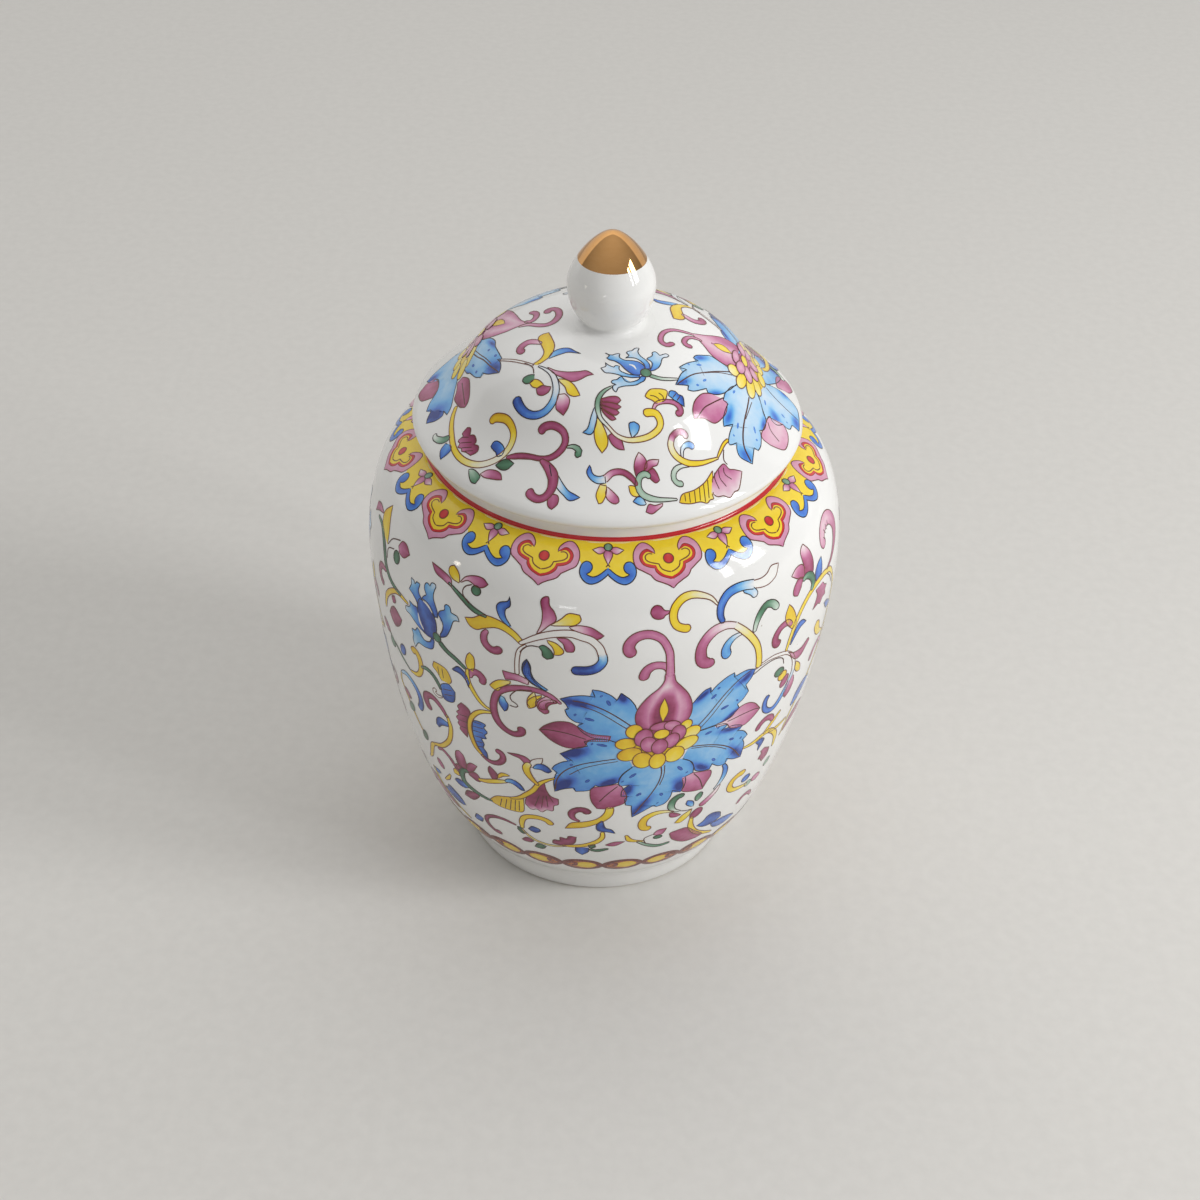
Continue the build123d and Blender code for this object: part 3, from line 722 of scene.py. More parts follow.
LOW_FAN = [
    ("leaf", "rose", [-381, 673, -405, 671, -418, 682, -423, 695], [-381, 687, -402, 691, -413, 695, -423,
     695], [95, 85]),
    ("leaf", "rose", [-400, 675, -405, 666, -407, 648, -400, 625, -386, 616], [-365, 675, -366, 657, -369,
     644, -373, 625, -386, 616], [95, 90, 75, 60]),
    ("leaf", "rose", [-376, 680, -368, 655, -352, 638, -330, 638], [-368, 682, -346, 662, -338, 650, -330,
     638], [95, 85, 70], 2),
    ("leaf", "rose", [-369, 678, -349, 667, -336, 667, -328, 678], [-369, 687, -357, 691, -344, 695, -330,
     691, -328, 678], [95, 85], 2),
    ("stroke", "green", [-368, 675, -386, 682, -396, 698, -397, 719, -386, 732, -360, 741, -330, 746, -301,
     746], [46, 69, 73, 73, 69, 59, 46, 23], [95, 90, 90, 85], 4),
    ("leaf", "yellow", [-311, 745, -295, 728, -279, 716, -247, 705, -215, 694, -197, 689], [-309, 748, -285,
     754, -263, 755, -237, 753, -218, 750, -205, 744, -200, 730, -197, 689], [[85, 85], [85, 70], [80,
     45]]),
    *veins([10], [-277, 752, -266, 719], [-261, 753, -250, 714], [-245, 752, -236, 710], [-230, 750, -223,
     706], [-216, 745, -212, 705]),
    ("leaf", "rose", [-143, 616, -159, 646, -178, 669, -191, 691, -194, 710], [-135, 616, -131, 641, -119,
     662, -100, 667, -100, 667, -101, 687, -113, 694, -117, 714, -134, 714, -148, 726, -162, 719, -179, 725,
     -194, 710], [[80, 90], [90, 95, 90], [90, 95, 50], [85, 90, 15], [60, 50, 10]]),
    *veins([9], [-167, 710, -151, 666], [-148, 710, -140, 664], [-130, 703, -132, 662], [-114, 682, -127,
     655]),
    ("stroke", "yellow", [-106, 596, -130, 610, -151, 628, -167, 653, -189, 675, -210, 693, -239, 706], [18,
     41, 55, 59, 59, 50, 23], [70, 75, 80, 85], 2),
    ("leaf", "rose", [-167, 571, -167, 557, -178, 546, -197, 543, -213, 545, -229, 548], [-180, 575, -187,
     564, -197, 555, -213, 552, -229, 548], [60, 85, 95]),
    ("leaf", "white", [-172, 575, -167, 555, -155, 545, -135, 538], [-162, 578, -148, 563, -138, 553, -135,
     538], [30], 2),
    ("leaf", "blue", [-162, 573, -151, 560, -135, 557, -122, 564, -114, 575], [-162, 578, -143, 576, -130,
     581, -122, 582, -114, 575], [60, 90, 100], 4),
    ("stroke", "yellow", [-151, 631, -167, 614, -178, 596, -180, 578, -170, 562], [32, 59, 78, 82, 64], [85,
     90, 80, 60, 20], 6),
    ("stroke", "yellow", [-336, 685, -311, 678, -290, 669, -269, 660, -239, 648], [41, 59, 64, 59, 32], [85,
     80, 60, 30], 4),
    ("leaf", "rose", [-286, 660, -294, 639, -293, 625, -287, 616], [-270, 654, -266, 637, -275, 625, -287,
     616], [90, 95]),
    ("leaf", "yellow", [-271, 646, -259, 628, -245, 622, -229, 625], [-266, 649, -250, 635, -239, 630, -229,
     625], [85, 80, 50]),
    ("leaf", "blue", [-247, 648, -239, 639, -226, 635, -210, 638, -198, 648, -191, 662], [-247, 652, -229,
     649, -215, 654, -202, 663, -191, 662], [40, 85, 100], 6),
    ("leaf", "blue", [-381, 737, -405, 730, -426, 733, -440, 746], [-381, 741, -402, 753, -424, 755, -440,
     747], [60, 95, 100]),
    ("leaf", "rose", [-357, 747, -389, 755, -402, 766, -412, 785], [-344, 750, -365, 773, -384, 785, -412,
     785], [90, 95]),
]
FAR_LEFT = [
    ("stroke", "green", [-718, 164, -680, 169, -648, 198, -627, 235, -595, 257, -547, 265], [23, 55, 73, 64,
     55, 27], [60, 95, 95, 90, 70]),
    ("leaf", "yellow", [-680, 169, -690, 139, -664, 110], [-632, 187, -637, 157, -664, 110], [50, 75, 80]),
    ("leaf", "rose", [-750, 169, -723, 155, -689, 144], [-750, 146, -723, 139, -689, 144], [85, 70, 50]),
    ("leaf", "rose", [-579, 162, -568, 146, -547, 145, -528, 158], [-574, 173, -549, 175, -528, 158], [50,
     80, 90]),
    *veins([13], [-630, 185, -611, 162, -576, 148], [-624, 216, -624, 191, -595, 178]),
    ("dot", "green", [-579, 189], [128, 146, 0], [95, 85]),
    ("stroke", "yellow", [-515, 269, -563, 266, -600, 285, -627, 312, -640, 348], [27, 55, 64, 64, 37], [60,
     80, 80, 70]),
    ("stroke", "rose", [-624, 248, -654, 250, -667, 266, -659, 285, -640, 291], [37, 69, 82, 82, 82], [70,
     90, 90]),
    ("leaf", "rose", [-616, 348, -600, 325, -579, 316, -549, 330], [-614, 353, -590, 369, -563, 353, -549,
     330], [90, 85]),
    ("leaf", "rose", [-590, 307, -595, 294, -579, 285], [-584, 307, -574, 298, -579, 285], [85]),
]
RIGHT_SIDE = [
    ("leaf", "rose", [553, 195, 554, 172, 550, 140, 559, 129, 569, 126], [594, 202, 597, 175, 588, 148, 569,
     126], [85, 85, 70, 25, 0]),
    ("leaf", "rose", [553, 196, 526, 186, 502, 170], [559, 178, 547, 162, 524, 160, 502, 170], [[85, 85],
     [70, 50], [20, 0]]),
    ("leaf", "rose", [554, 195, 529, 186, 507, 200, 505, 216, 521, 224], [568, 194, 544, 199, 534, 212, 521,
     224], [85, 70, 75]),
    ("stroke", "green", [581, 241, 591, 225, 582, 206, 562, 196, 544, 199], [50, 85, 90, 75, 40], [50, 85,
     90, 75, 50], 3),
    ("stroke", "rose", [671, 178, 658, 162, 671, 142, 706, 134, 736, 148, 750, 175, 736, 205, 706, 229, 671,
     239], [110, 120, 140, 150, 150, 140, 100, 60, 25], [50, 30, 25, 35, 60, 75, 80, 85, 90]),
    *veins([10], [676, 168, 666, 158], [685, 158, 676, 145], [695, 154, 693, 140], [706, 152, 709, 139]),
    ("leaf", "blue", [603, 230, 603, 210, 618, 195, 639, 189], [624, 232, 638, 225, 641, 205, 639, 189],
     [95, 80, 65]),
    ("stroke", "yellow", [491, 352, 503, 320, 524, 282, 553, 256, 588, 242, 629, 238, 665, 241, 700, 255,
     726, 282], [35, 60, 70, 70, 70, 70, 65, 60, 40], [60, 55, 60, 65, 60, 55, 50]),
    *veins([13], [676, 252, 700, 272, 721, 300]),
    ("leaf", "yellow", [506, 300, 482, 275, 475, 252, 488, 229], [519, 295, 516, 270, 503, 245, 488, 229],
     [60, 75, 75]),
    ("stroke", "rose", [503, 286, 484, 272, 460, 274, 444, 290, 447, 308, 464, 314], [45, 75, 85, 90, 95,
     100], [60, 75, 85, 90]),
    ("leaf", "blue", [506, 341, 515, 316, 532, 298, 550, 298, 568, 312], [507, 344, 526, 325, 544, 314, 568,
     312], [90, 80, 90]),
    ("leaf", "rose", [606, 255, 615, 274, 597, 300], [647, 256, 660, 270, 676, 278, 666, 288, 672, 300, 653,
     299, 640, 308, 626, 300, 597, 300], [[70, 60], [85, 75], [90, 80]]),
    ("run", "white", [544, 432, 538, 405, 524, 380, 500, 360, 476, 350, 441, 342, 406, 344, 388, 348], [55,
     50, 45, 40, 45, 45, 30, 20], [0]),
    ("run", "blue", [544, 430, 538, 450, 524, 475, 500, 504, 476, 511, 451, 495, 445, 470, 454, 454], [55,
     65, 75, 75, 75, 70, 70, 70], [2, 40, 75, 80, 85, 90]),
    *veins([13], [382, 362, 418, 352, 453, 352, 482, 365, 491, 385]),
    ("dot", "green", [479, 402], [160, 120, 20], [90, 80]),
    ("dot", "yellow", [496, 421], [150, 130, 20], [80, 65]),
    ("dot", "rose", [510, 444], [130, 170, 30], [85, 80]),
    ("leaf", "rose", [503, 360, 529, 375, 565, 382, 594, 374, 606, 384], [506, 362, 529, 390, 550, 405, 574,
     406, 594, 392, 606, 384], [40, 65, 80, 85]),
    ("leaf", "yellow", [550, 411, 568, 425, 581, 440, 586, 458], [552, 415, 553, 435, 568, 452, 586, 458],
     [40, 70, 70]),
    ("leaf", "rose", [528, 458, 521, 490, 535, 508], [553, 450, 562, 475, 553, 498, 535, 508], [40, 75,
     90]),
    ("stroke", "yellow", [400, 590, 435, 592, 471, 586, 500, 589, 529, 610, 547, 635, 554, 672], [25, 55,
     60, 65, 70, 60, 35], [50, 65, 70, 65, 60, 50]),
    ("stroke", "yellow", [474, 585, 506, 561, 532, 544], [40, 70, 35], [65, 70, 60]),
    ("stroke", "yellow", [497, 591, 541, 601, 585, 601], [30, 50, 30], [65, 60, 50]),
    ("stroke", "rose", [503, 558, 489, 540, 466, 532, 445, 542, 441, 556], [45, 75, 85, 85, 75], [70, 85,
     85]),
    ("leaf", "blue", [450, 600, 471, 596, 487, 610, 471, 636], [453, 603, 465, 615, 468, 630, 471, 636],
     [80, 95, 90]),
    ("leaf", "rose", [489, 650, 497, 662, 489, 675, 503, 685, 515, 699], [503, 645, 519, 655, 534, 665, 534,
     688, 515, 699], [75, 85, 90]),
    ("stroke", "yellow", [726, 282, 744, 315, 747, 350, 738, 400, 721, 445, 706, 480, 676, 515, 635, 560,
     600, 605, 579, 655], [40, 55, 60, 60, 55, 55, 50, 45, 40, 25], [50, 60, 65, 65, 60, 55], -2),
    ("leaf", "blue", [676, 330, 706, 338, 753, 370], [682, 335, 706, 360, 753, 370], [90, 80]),
    ("leaf", "yellow", [712, 425, 659, 405, 629, 370, 638, 355], [715, 422, 676, 395, 659, 365, 638, 355],
     [40, 65, 75]),
    ("stroke", "rose", [729, 465, 700, 442, 665, 448, 644, 470], [25, 60, 80, 110], [40, 60, 85]),
    ("leaf", "blue", [588, 565, 606, 535, 641, 522, 688, 535], [594, 572, 629, 570, 665, 550, 688, 535],
     [80, 90, 75]),
    ("leaf", "rose", [588, 645, 618, 615, 659, 605, 706, 620], [594, 650, 635, 640, 676, 635, 706, 620],
     [80, 85, 80]),
    ("dot", "green", [556, 725], [100, 130, 30], [50]),
    ("dot", "rose", [518, 755], [170, 120, 30], [55]),
    ("dot", "green", [482, 755], [130, 100, 30], [45]),
]
HEEL_SCROLL = [
    ("stroke", "yellow", [-218, 814, -215, 786, -201, 763, -167, 752, -138, 756, -123, 771], [40, 60, 67,
     74, 74, 80], [60, 75, 80, 85]),
    ("leaf", "blue", [-198, 809, -184, 794, -163, 799], [-197, 813, -176, 818, -161, 807, -163, 799], [100,
     90]),
    ("stroke", "yellow", [20, 780, 18, 807, -8, 830, -50, 846, -100, 852], [40, 60, 67, 60, 34], [60, 80,
     85]),
    ("stroke", "yellow", [-220, 818, -201, 841, -171, 857, -129, 861, -87, 853], [20, 34, 34, 34, 20], [40,
     30]),
    ("leaf", "rose", [-128, 846, -123, 832, -104, 830, -103, 816, -83, 818, -77, 806, -55, 807], [-128, 850,
     -96, 851, -62, 836, -55, 807], [95, 90]),
    ("leaf", "blue", [-58, 851, -58, 871, -39, 887], [-18, 851, -20, 870, -39, 887], [95, 85]),
    ("leaf", "green", [-16, 851, -20, 839, -2, 834], [-12, 854, 1, 846, -2, 834], [95]),
    ("stroke", "green", [-16, 857, 5, 863, 40, 854], [40, 60, 34], [95, 90]),
    ("leaf", "rose", [30, 836, 55, 824, 87, 824], [34, 840, 60, 841, 87, 824], [85, 70]),
    ("leaf", "yellow", [85, 801, 91, 797, 110, 818, 144, 830], [85, 801, 96, 825, 144, 834], [80, 70]),
    ("stroke", "green", [123, 829, 156, 851, 194, 866, 232, 863], [27, 47, 54, 40], [30, 70, 85]),
    *veins([13], [152, 846, 144, 821, 169, 809]),
    ("leaf", "rose", [169, 809, 182, 794, 208, 793], [173, 814, 198, 814, 208, 793], [50, 85]),
    ("dot", "green", [186, 824], [101, 74, 10], [90]),
    ("leaf", "rose", [222, 823, 240, 854, 287, 884, 334, 891], [224, 818, 274, 816, 312, 846, 354, 882, 334,
     891], [85, 80, 85]),
    ("stroke", "yellow", [282, 775, 289, 814, 314, 850, 350, 875, 400, 899], [40, 67, 67, 60, 34], [60, 70,
     70]),
    ("leaf", "blue", [314, 827, 333, 818, 345, 801, 366, 799, 396, 814, 408, 839], [320, 832, 345, 846, 379,
     850, 408, 839], [85, 95, 90]),
]
HEEL_ENDS = [
    ("leaf", "blue", [379, 850, 417, 850, 459, 861, 492, 880], [375, 854, 400, 879, 450, 893, 492, 880],
     [90, 85, 80]),
    ("stroke", "rose", [474, 830, 484, 813, 508, 809, 530, 820, 545, 839], [60, 67, 67, 54, 27], [85, 80,
     75]),
    ("stroke", "rose", [-237, 810, -276, 805, -314, 812, -344, 832, -350, 859, -329, 880, -304, 877], [27,
     47, 54, 54, 54, 60, 94], [95, 95]),
    ("leaf", "green", [-234, 814, -220, 814, -207, 832], [-237, 825, -222, 839, -207, 832], [100]),
    ("leaf", "rose", [-230, 868, -209, 850, -188, 859], [-226, 873, -201, 870, -188, 859], [95]),
    ("leaf", "green", [-190, 886, -176, 866, -150, 871], [-188, 889, -163, 887, -150, 871], [95]),
    ("leaf", "blue", [-408, 871, -390, 846, -365, 850], [-405, 875, -377, 871, -365, 850], [95, 85]),
]
LID_CURL = [
    ("stroke", "white", [-222, 89, -192, 106, -169, 121, -150, 134], [20, 28, 28, 20], [0]),
    ("stroke", "blue", [-140, 139, -126, 150, -112, 166, -105, 187, -104, 208, -111, 229, -125, 244, -142,
     249, -160, 245, -175, 233, -185, 215, -189, 198], [15, 30, 50, 60, 65, 70, 75, 77, 80, 90, 100, 100],
     [0, 0, 0, 10, 55, 75, 80, 90, 95]),
    ("leaf", "yellow", [-152, 131, -136, 121, -129, 104, -135, 81, -142, 60, -136, 48, -121, 44], [-140,
     136, -121, 123, -112, 110, -108, 88, -114, 64, -121, 44], [75, 65, 75, 85]),
    ("stroke", "rose", [-134, 76, -152, 65, -165, 64, -177, 73, -178, 84, -169, 90], [30, 65, 75, 80, 80,
     75], [20, 50, 75, 85]),
    ("leaf", "blue", [-119, 121, -112, 108, -96, 100, -79, 101, -67, 111, -56, 119], [-121, 125, -110, 121,
     -94, 116, -81, 113, -67, 116, -56, 119], [40, 75, 95]),
    ("leaf", "rose", [-121, 146, -104, 158, -81, 165, -58, 166, -44, 165, -30, 175], [-121, 148, -108, 165,
     -92, 177, -73, 189, -58, 187, -42, 178, -30, 175], [30, 60, 70, 75]),
    ("leaf", "yellow", [-100, 179, -83, 184, -69, 196, -60, 212, -56, 222], [-98, 185, -86, 200, -81, 215,
     -69, 223, -56, 222], [20, 60, 75]),
    ("leaf", "rose", [-100, 215, -105, 242, -98, 252, -90, 260], [-89, 212, -77, 227, -80, 246, -90, 260],
     [0, 30, 80, 90]),
    ("leaf", "green", [-148, 158, -160, 156, -171, 160, -173, 167], [-148, 171, -158, 176, -167, 175, -173,
     167], [75, 85]),
    ("leaf", "yellow", [-158, 176, -152, 187, -140, 192, -129, 187], [-158, 174, -146, 170, -136, 177, -129,
     187], [60, 75]),
    ("leaf", "rose", [-144, 194, -142, 206, -131, 211, -119, 206, -114, 195], [-144, 193, -133, 188, -123,
     192, -114, 195], [80, 75]),
    *veins([13], [-169, 121, -152, 138, -149, 156]),
]
LID_SPIRAL = [
    ("stroke", "yellow", [-348, 127, -357, 150, -360, 177, -358, 208, -353, 238, -342, 264, -325, 286, -304,
     302, -281, 311, -254, 312, -231, 305, -214, 292, -205, 273, -207, 254, -217, 236, -233, 225, -248, 220,
     -258, 227], [50, 55, 60, 62, 65, 68, 70, 70, 70, 75, 90, 95], [75, 70, 70, 65, 55, 30, 2, 0, 30, 80,
     85, 90]),
    ("stroke", "green", [-363, 206, -381, 204, -394, 194, -402, 183, -401, 173], [70, 85, 75, 60, 45], [80,
     75, 50, 15, 2]),
    ("leaf", "blue", [-373, 217, -385, 227, -387, 242, -385, 253], [-359, 229, -359, 242, -369, 249, -385,
     253], [65, 80, 90]),
    ("leaf", "rose", [-319, 205, -310, 212, -312, 228, -312, 228, -301, 234, -296, 250, -301, 256, -301,
     256, -291, 265, -294, 277, -310, 279], [-321, 206, -332, 214, -329, 222, -342, 227, -337, 237, -342,
     244, -332, 252, -333, 258, -322, 266, -310, 279], [[95, 85], [100, 60], [100, 55], [95, 75]]),
    *veins([10], [-334, 222, -315, 232], [-336, 236, -307, 248], [-333, 250, -307, 260], [-325, 262, -304,
     270]),
    ("leaf", "blue", [-261, 277, -254, 270, -244, 272, -233, 284, -228, 296], [-261, 279, -255, 288, -249,
     296, -247, 305, -235, 306, -228, 296], [[95, 95], [80, 95], [40, 90]]),
    ("leaf", "green", [-314, 311, -313, 327, -308, 342, -298, 349], [-311, 310, -300, 317, -289, 331, -287,
     339, -298, 349], [20, 60, 90]),
    ("leaf", "rose", [-286, 331, -269, 328, -250, 335, -238, 346, -235, 360], [-286, 332, -277, 342, -262,
     350, -246, 357, -235, 360], [15, 70, 85]),
    ("leaf", "green", [-250, 323, -235, 317, -221, 319, -207, 332], [-250, 325, -238, 337, -223, 341, -207,
     332], [95, 85]),
]
LID_ROSE = [
    ("stroke", "rose", [-225, 314, -196, 319, -169, 327, -148, 335, -125, 338, -104, 330, -90, 315, -89,
     298, -98, 285, -114, 276, -132, 276, -144, 286], [30, 60, 60, 50, 50, 60, 65, 70, 70, 75, 80, 90], [85,
     90, 90, 85, 80, 85, 85]),
    ("stroke", "green", [-88, 322, -73, 322, -62, 328, -60, 336, -69, 339], [15, 35, 55, 70, 70], [30, 60,
     85]),
    ("stroke", "rose", [-146, 338, -129, 356, -118, 377, -121, 400, -135, 415, -152, 417, -166, 408, -174,
     394], [40, 85, 120, 110, 85, 75, 80, 110], [80, 85, 85, 80], 2),
    ("leaf", "blue", [-126, 350, -110, 370, -96, 392, -83, 408, -71, 415, -57, 423], [-123, 372, -114, 392,
     -105, 405, -94, 416, -83, 427, -71, 428, -57, 423], [0, 0, 10, 50, 75, 80]),
    ("leaf", "rose", [-125, 411, -130, 425, -128, 436, -120, 442], [-114, 411, -105, 419, -107, 433, -120,
     442], [70, 85]),
]
LID_CARNATION = [
    ("leaf", "blue", [60, 171, 43, 172, 33, 170, 24, 166, 19, 160, 20, 153, 18, 152, 10, 152, 9, 156, 9,
     156, 0, 152, -8, 145, -8, 145, -6, 154, -16, 159], [62, 176, 51, 178, 45, 179, 35, 178, 26, 177, 17,
     174, 8, 172, 0, 171, -8, 170, -16, 159], [85, 60, 35, 15, 5]),
    ("leaf", "blue", [70, 154, 68, 142, 64, 137, 58, 132, 50, 128, 38, 128, 31, 130, 31, 130, 38, 123, 38,
     121, 34, 117, 33, 113, 38, 109, 44, 107, 47, 102, 51, 98, 57, 98], [80, 154, 79, 141, 74, 133, 69, 128,
     62, 122, 57, 115, 55, 107, 57, 101, 57, 98], [85, 60, 35, 15, 5]),
    ("leaf", "blue", [79, 158, 84, 142, 83, 134, 80, 130, 73, 127, 73, 127, 76, 122, 82, 118, 84, 112, 83,
     107, 87, 103, 91, 103, 95, 107, 98, 111, 98, 111, 103, 108, 108, 104, 113, 103, 117, 107], [87, 155,
     94, 148, 98, 142, 101, 133, 102, 125, 104, 118, 108, 114, 113, 112, 117, 107], [85, 60, 35, 15, 5]),
    ("leaf", "blue", [63, 173, 58, 182, 50, 187, 42, 190, 36, 190, 31, 187, 27, 181, 25, 178, 25, 178, 19,
     182, 17, 186, 8, 188, 5, 192, 8, 196, 14, 197, 14, 197, 8, 202, 9, 209, 12, 213, 15, 215], [73, 170,
     70, 182, 63, 188, 54, 195, 43, 198, 32, 200, 23, 203, 19, 205, 17, 210, 15, 215], [80, 50, 30, 10]),
    ("leaf", "blue", [66, 164, 70, 151, 67, 145, 58, 138, 49, 136, 38, 136, 30, 136, 22, 132, 19, 127, 20,
     120, 18, 118], [64, 170, 51, 172, 43, 169, 35, 163, 28, 156, 22, 148, 14, 142, 8, 139, 0, 137, -5, 132,
     -5, 132, 0, 125, -8, 118, -8, 118, 0, 123, 8, 123, 10, 121, 18, 118], [85, 78, 68, 35, 10], 4),
    ("dab", "white", [38, 147, 47, 149, 53, 158], [8, 23, 8], [0], 6),
    ("dot", "green", [72, 163], [108, 100, 0], [90, 75], 6),
    ("stroke", "green", [79, 168, 100, 171, 119, 168, 138, 162], [42, 38, 35, 19], [70, 40, 10, 0]),
]
LID_SCROLL = [
    ("leaf", "yellow", [95, 229, 88, 224, 80, 222, 74, 219, 73, 216, 77, 207, 83, 200, 92, 197], [107, 223,
     113, 219, 116, 210, 117, 202, 117, 198, 113, 195, 103, 195, 92, 197], [[70, 70], [65, 55], [50, 45]]),
    *veins([10], [99, 205, 107, 209, 110, 214, 109, 220], [82, 214, 92, 214, 100, 218, 103, 223]),
    ("leaf", "blue", [120, 206, 122, 195, 133, 193, 140, 198, 150, 200, 155, 220], [125, 208, 133, 213, 142,
     216, 155, 220], [[40, 80], [80, 50], [100, 70], [80, 90]]),
    *veins([10], [129, 208, 135, 197], [138, 212, 144, 200]),
    ("stroke", "rose", [90, 245, 96, 230, 112, 221, 133, 218, 146, 225, 148, 235, 138, 239], [23, 38, 46,
     46, 54, 62, 65], [30, 50, 65, 75, 80]),
    ("run", "green", [0, 285, -15, 269, -21, 246, -18, 227, -8, 213, 8, 202], [31, 38, 50, 50, 38, 15], [0,
     10, 50, 70, 60, 20], 2),
    ("run", "yellow", [0, 285, 19, 302, 42, 309, 65, 306, 89, 296, 106, 279, 108, 264, 98, 250, 83, 250, 72,
     255], [31, 35, 42, 50, 58, 62, 65, 69, 77, 85], [0, 2, 20, 40, 50, 60, 65], 2),
    ("leaf", "blue", [52, 304, 46, 291, 44, 277, 54, 273], [53, 304, 63, 293, 65, 279, 54, 273], [20, 55,
     75]),
    ("leaf", "rose", [-14, 249, 0, 260, 11, 265, 17, 271], [-13, 255, -4, 265, 8, 274, 17, 271], [95, 80]),
    ("leaf", "rose", [-15, 243, 5, 249, 16, 252, 23, 258], [-14, 249, 3, 259, 15, 264, 23, 258], [95, 80],
     2),
    ("leaf", "rose", [-15, 237, 6, 238, 18, 241, 26, 246], [-15, 243, 5, 249, 18, 252, 26, 246], [95, 80],
     4),
    ("leaf", "rose", [-15, 231, 4, 225, 18, 225, 25, 232], [-15, 237, 6, 238, 18, 240, 25, 232], [95, 80],
     6),
    ("leaf", "blue", [-27, 248, -33, 265, -40, 288, -51, 297], [-22, 254, -23, 281, -33, 301, -51, 297],
     [10, 35, 75]),
    ("leaf", "yellow", [-21, 269, -27, 296, -23, 319, -10, 337], [-15, 273, 0, 304, 1, 323, -10, 337], [35,
     60, 65]),
    ("leaf", "rose", [3, 303, 15, 298, 30, 310, 38, 329], [2, 306, 11, 320, 24, 328, 38, 329], [80, 70]),
]
LID_FLOWER = [
    ("leaf", "blue", [-37, 360, -43, 373, -35, 387, -19, 396, 0, 395], [-35, 361, -29, 377, -15, 382, 0,
     378], [95, 60, 2]),
    ("run", "rose", [-2, 387, 15, 374, 38, 372, 58, 382, 70, 395], [73, 62, 58, 62, 35], [0, 60, 85, 90,
     90], 3),
    ("leaf", "yellow", [-13, 398, -21, 419, -15, 436], [1, 396, 2, 415, -6, 433, -15, 436], [25, 60, 65]),
    ("leaf", "rose", [3, 402, 12, 408, 28, 421, 31, 430], [-1, 410, 3, 425, 15, 434, 25, 435, 31, 430], [0,
     35, 70, 75]),
    ("leaf", "rose", [67, 379, 61, 360, 63, 343, 69, 330], [90, 360, 88, 345, 79, 335, 69, 330], [90, 85,
     30, 5]),
    ("leaf", "rose", [83, 368, 87, 347, 98, 340, 115, 337], [101, 360, 102, 354, 112, 348, 115, 337], [90,
     75, 30, 5]),
    ("leaf", "rose", [87, 372, 101, 356, 113, 364, 120, 377], [92, 372, 102, 380, 112, 384, 120, 377], [90,
     85, 80]),
    ("stroke", "green", [99, 375, 87, 370, 75, 377, 72, 393, 79, 408, 96, 416, 123, 416, 162, 408], [54, 65,
     69, 69, 65, 46, 35, 19], [45, 50, 45, 35, 25, 10], 2),
    ("leaf", "yellow", [77, 414, 70, 400, 58, 396, 51, 398], [75, 417, 63, 417, 55, 411, 51, 398], [40, 65,
     75]),
    ("leaf", "blue", [92, 429, 83, 418, 71, 418, 62, 428], [92, 431, 77, 433, 62, 428], [20, 50, 80]),
    ("leaf", "rose", [129, 422, 112, 429, 98, 429, 92, 445], [131, 425, 119, 437, 106, 447, 92, 445], [20,
     65, 70]),
]
LID_SHELL = [
    ("run", "rose", [137, 295, 139, 285, 150, 273, 163, 272, 172, 280], [65, 65, 65, 65, 62], [20, 85, 80,
     40, 10], 2),
    ("run", "yellow", [137, 294, 138, 304, 146, 316, 162, 325, 185, 327, 212, 318, 235, 304, 252, 292], [65,
     69, 65, 65, 58, 46, 35, 19], [5, 20, 55, 65, 65, 55, 40], 2),
    ("stroke", "blue", [168, 322, 165, 308, 168, 297, 180, 290, 192, 293], [19, 35, 50, 65, 69], [0, 0, 30,
     65, 75]),
    ("stroke", "yellow", [272, 241, 262, 256, 254, 279, 249, 295], [31, 35, 31, 15], [70, 70, 50]),
    *veins([13], [263, 268, 265, 291, 275, 298]),
    ("stroke", "green", [187, 332, 165, 339, 152, 352, 152, 368, 163, 375, 174, 372], [15, 38, 54, 58, 58,
     62], [0, 10, 25, 35, 40]),
    ("leaf", "yellow", [167, 413, 173, 395, 200, 379, 223, 356, 240, 325], [169, 414, 192, 410, 215, 400,
     231, 398, 238, 389, 246, 384, 240, 375], [[80, 80], [75, 65], [70, 50], [70, 30]]),
    ("leaf", "rose", [240, 345, 250, 322, 265, 300, 279, 306, 292, 302, 310, 298], [240, 373, 254, 377, 269,
     370, 285, 368, 294, 352, 304, 343, 308, 322, 310, 298], [[60, 10], [65, 15], [70, 5], [40, 5]]),
    *veins([11], [181, 408, 178, 393], [192, 408, 188, 387], [204, 404, 200, 380], [215, 398, 211, 370],
     [227, 397, 220, 360], [235, 387, 229, 348], [258, 360, 246, 341, 245, 327], [275, 348, 258, 335, 254,
     318], [287, 327, 269, 322, 265, 308]),
]
